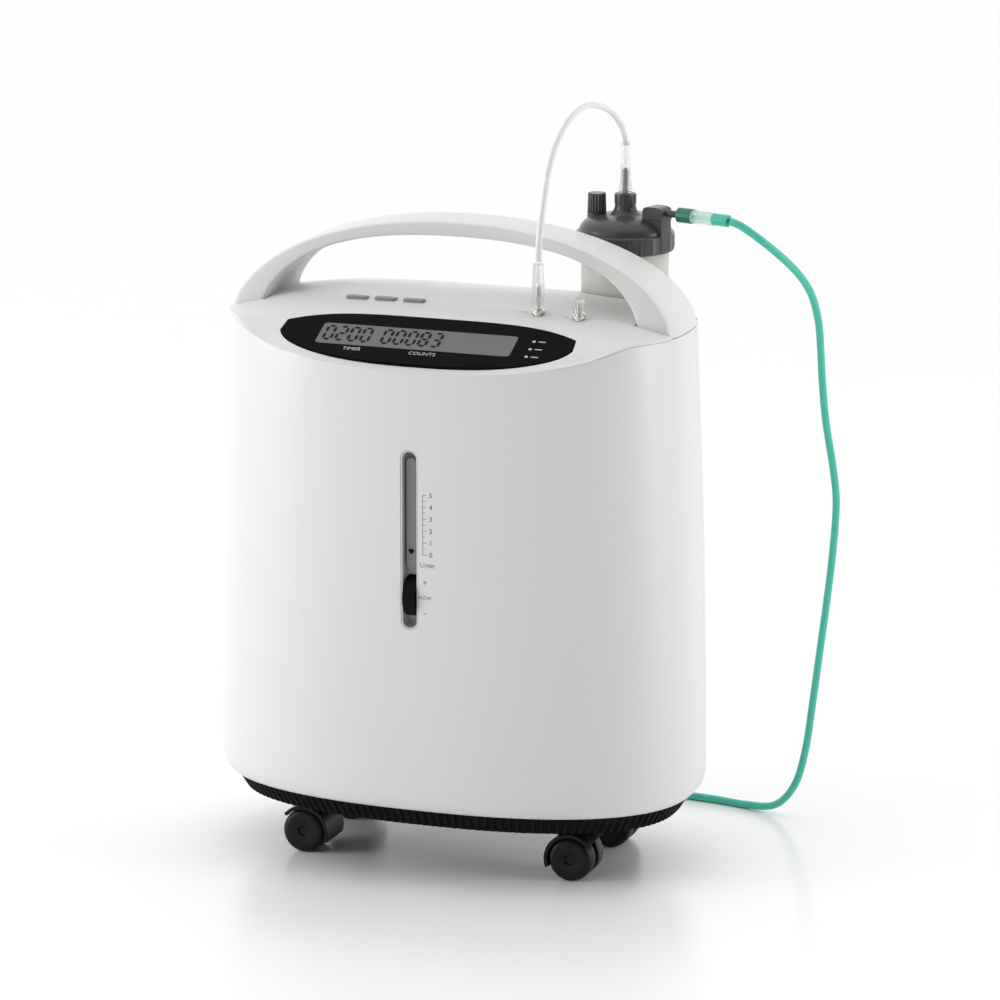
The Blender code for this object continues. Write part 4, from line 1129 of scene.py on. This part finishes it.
def make_lid(mats):
    inner = JAR_RADIUS - 0.002 + 0.0006
    profile = [(0.0085, PORT_TOP), (0.0093, PORT_TOP - 0.0004), (0.0095, PORT_TOP - 0.0012), (0.0095, 0.5850)]
    for i in range(1, 9):
        a = math.pi / 2 * i / 8
        profile.append((0.0095 + 0.0075 * (1 - math.cos(a)), 0.5850 - 0.0088 * math.sin(a)))
    for i in range(1, 11):
        a = math.pi / 2 * i / 10
        profile.append((0.0170 + 0.0245 * math.sin(a), 0.5762 - 0.0140 * (1 - math.cos(a))))
    profile += [
        (0.0432, 0.5616),
        (LID_RADIUS, 0.5606),
        (LID_RADIUS, LID_BOTTOM + 0.0006),
        (LID_RADIUS - 0.0006, LID_BOTTOM),
        (inner, LID_BOTTOM),
        (inner, 0.5580),
        (0.0290, 0.5640),
        (0.0100, 0.5700),
        (0.0036, 0.5700),
        (0.0036, PORT_TOP),
    ]
    cap = placed("humidifier_lid_skin", lathe(profile, 120), BOTTLE)
    for i in range(16):
        angle = 2 * math.pi * (i + 0.5) / 16
        rib = prism(rounded_rectangle(0.0004, 0.0010, 3, 16), 0.5868, PORT_TOP - 0.0012)
        spot = (BOTTLE[0] + 0.0095 * math.cos(angle), BOTTLE[1] + 0.0095 * math.sin(angle), 0)
        obj = placed(f"port_rib_{i}", rib, spot, (0, 0, angle))
        piece(obj, mats["lid"], "housing")
    boss = placed("joiner", moved(rod(0.0087, 0.5660, VALVE_BASE), (-0.027, 0, 0)), BOTTLE)
    pad = box((0.0205, 0.0155, PAD_TOP - 0.5565), (0.0335, 0, (PAD_TOP + 0.5565) / 2))
    combined(cap, [boss, placed("joiner", pad, BOTTLE, (0, 0, ELBOW_ANGLE))], "UNION")
    for i in range(24):
        angle = 2 * math.pi * (i + 0.5) / 24
        rib = prism(rounded_rectangle(0.0005, 0.0016, 3, 16), LID_BOTTOM + 0.0016, 0.5590)
        spot = (BOTTLE[0] + 0.0440 * math.cos(angle), BOTTLE[1] + 0.0440 * math.sin(angle), 0)
        obj = placed(f"lid_rib_{i}", rib, spot, (0, 0, angle))
        piece(obj, mats["lid"], "housing")
    piece(cap, mats["lid"], "housing", ["humidifier_lid"])


def make_elbow(mats):
    """Rounded block on the lid, with a barb for the tube."""
    turn = (0, 0, ELBOW_ANGLE)
    low = PAD_TOP + 0.0003
    high = 0.5870
    outline = []
    for i in range(25):
        a = math.pi * i / 24
        c = math.cos(a)
        x = 0.0340 + 0.0107 * math.copysign(abs(c) ** 0.5, c)
        outline.append((x, low + 0.0035 + (high - low - 0.0035) * math.sin(a) ** 0.6))
    outline += [(0.0233, low), (0.0447, low)]
    body = turned(prism(outline, -0.0080, 0.0080), "X")
    block = placed("outlet_elbow_skin", body, BOTTLE, turn)
    profile = [(0, 0.0670), (0.0018, 0.0670)]
    for i in range(4):
        z = 0.0655 - 0.0030 * i
        profile += [(0.0031, z), (0.0025, z - 0.0015)]
    profile += [(0.0031, 0.0530), (0.0031, 0.0400), (0, 0.0400)]
    barb = placed("joiner", moved(turned(lathe(profile, 32), "Y"), (0, 0, BARB_Z)), BOTTLE, turn)
    combined(block, [barb], "UNION")
    rounded(block, 0.0008, 3, 50)
    piece(block, mats["lid"], "housing", ["lid_outlet_elbow"])


# ---------------------------------------------------------------- carried-over parts


def paint(mats, finish, *names):
    """Gives CAD nodes that stay a procedural material, and rounds their edges."""
    for name in names:
        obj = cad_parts[name]
        for slot in obj.material_slots:
            slot.material = mats[finish]
        rounded(obj, 0.0004, 2)


def paint_carried_over(mats):
    paint(mats, "white", "filter_door", "humidifier_well")
    paint(mats, "black", "rear_grille", "filter_frame", "power_panel", "power_inlet", "power_rocker")
    paint(mats, "black", "fan_frame", "fan_rotor")
    paint(mats, "foam", "intake_filter")
    paint(mats, "lcd", "lcd_module")
    paint(mats, "board", "control_board")
    paint(mats, "clear", "jumper_connector_lower", "jumper_connector_upper", "dip_tube")
    paint(mats, "pale_green", "supply_sleeve")
    paint(mats, "green", "supply_cuff")
    paint(mats, "dark_green", "supply_collar", "supply_end_connector")
    paint(mats, "brass", "flow_valve_body", "valve_manifold")
    paint(mats, "aluminium", "compressor", "sieve_bed_a", "sieve_bed_b", "heat_exchanger")
    paint(mats, "zinc", "chassis_plate")
    paint(mats, "grey", "oxygen_tank", "run_capacitor")


make_camera()
materials = make_materials()
make_tubes(materials)
make_studio()
make_shells(materials)
make_cover(materials)
make_handle(materials)
make_skirt(materials)
make_display(materials)
make_buttons(materials)
make_outlets(materials)
make_flowmeter(materials)
make_inlet_pins(materials)
make_casters(materials)
make_bottle(materials)
paint_carried_over(materials)
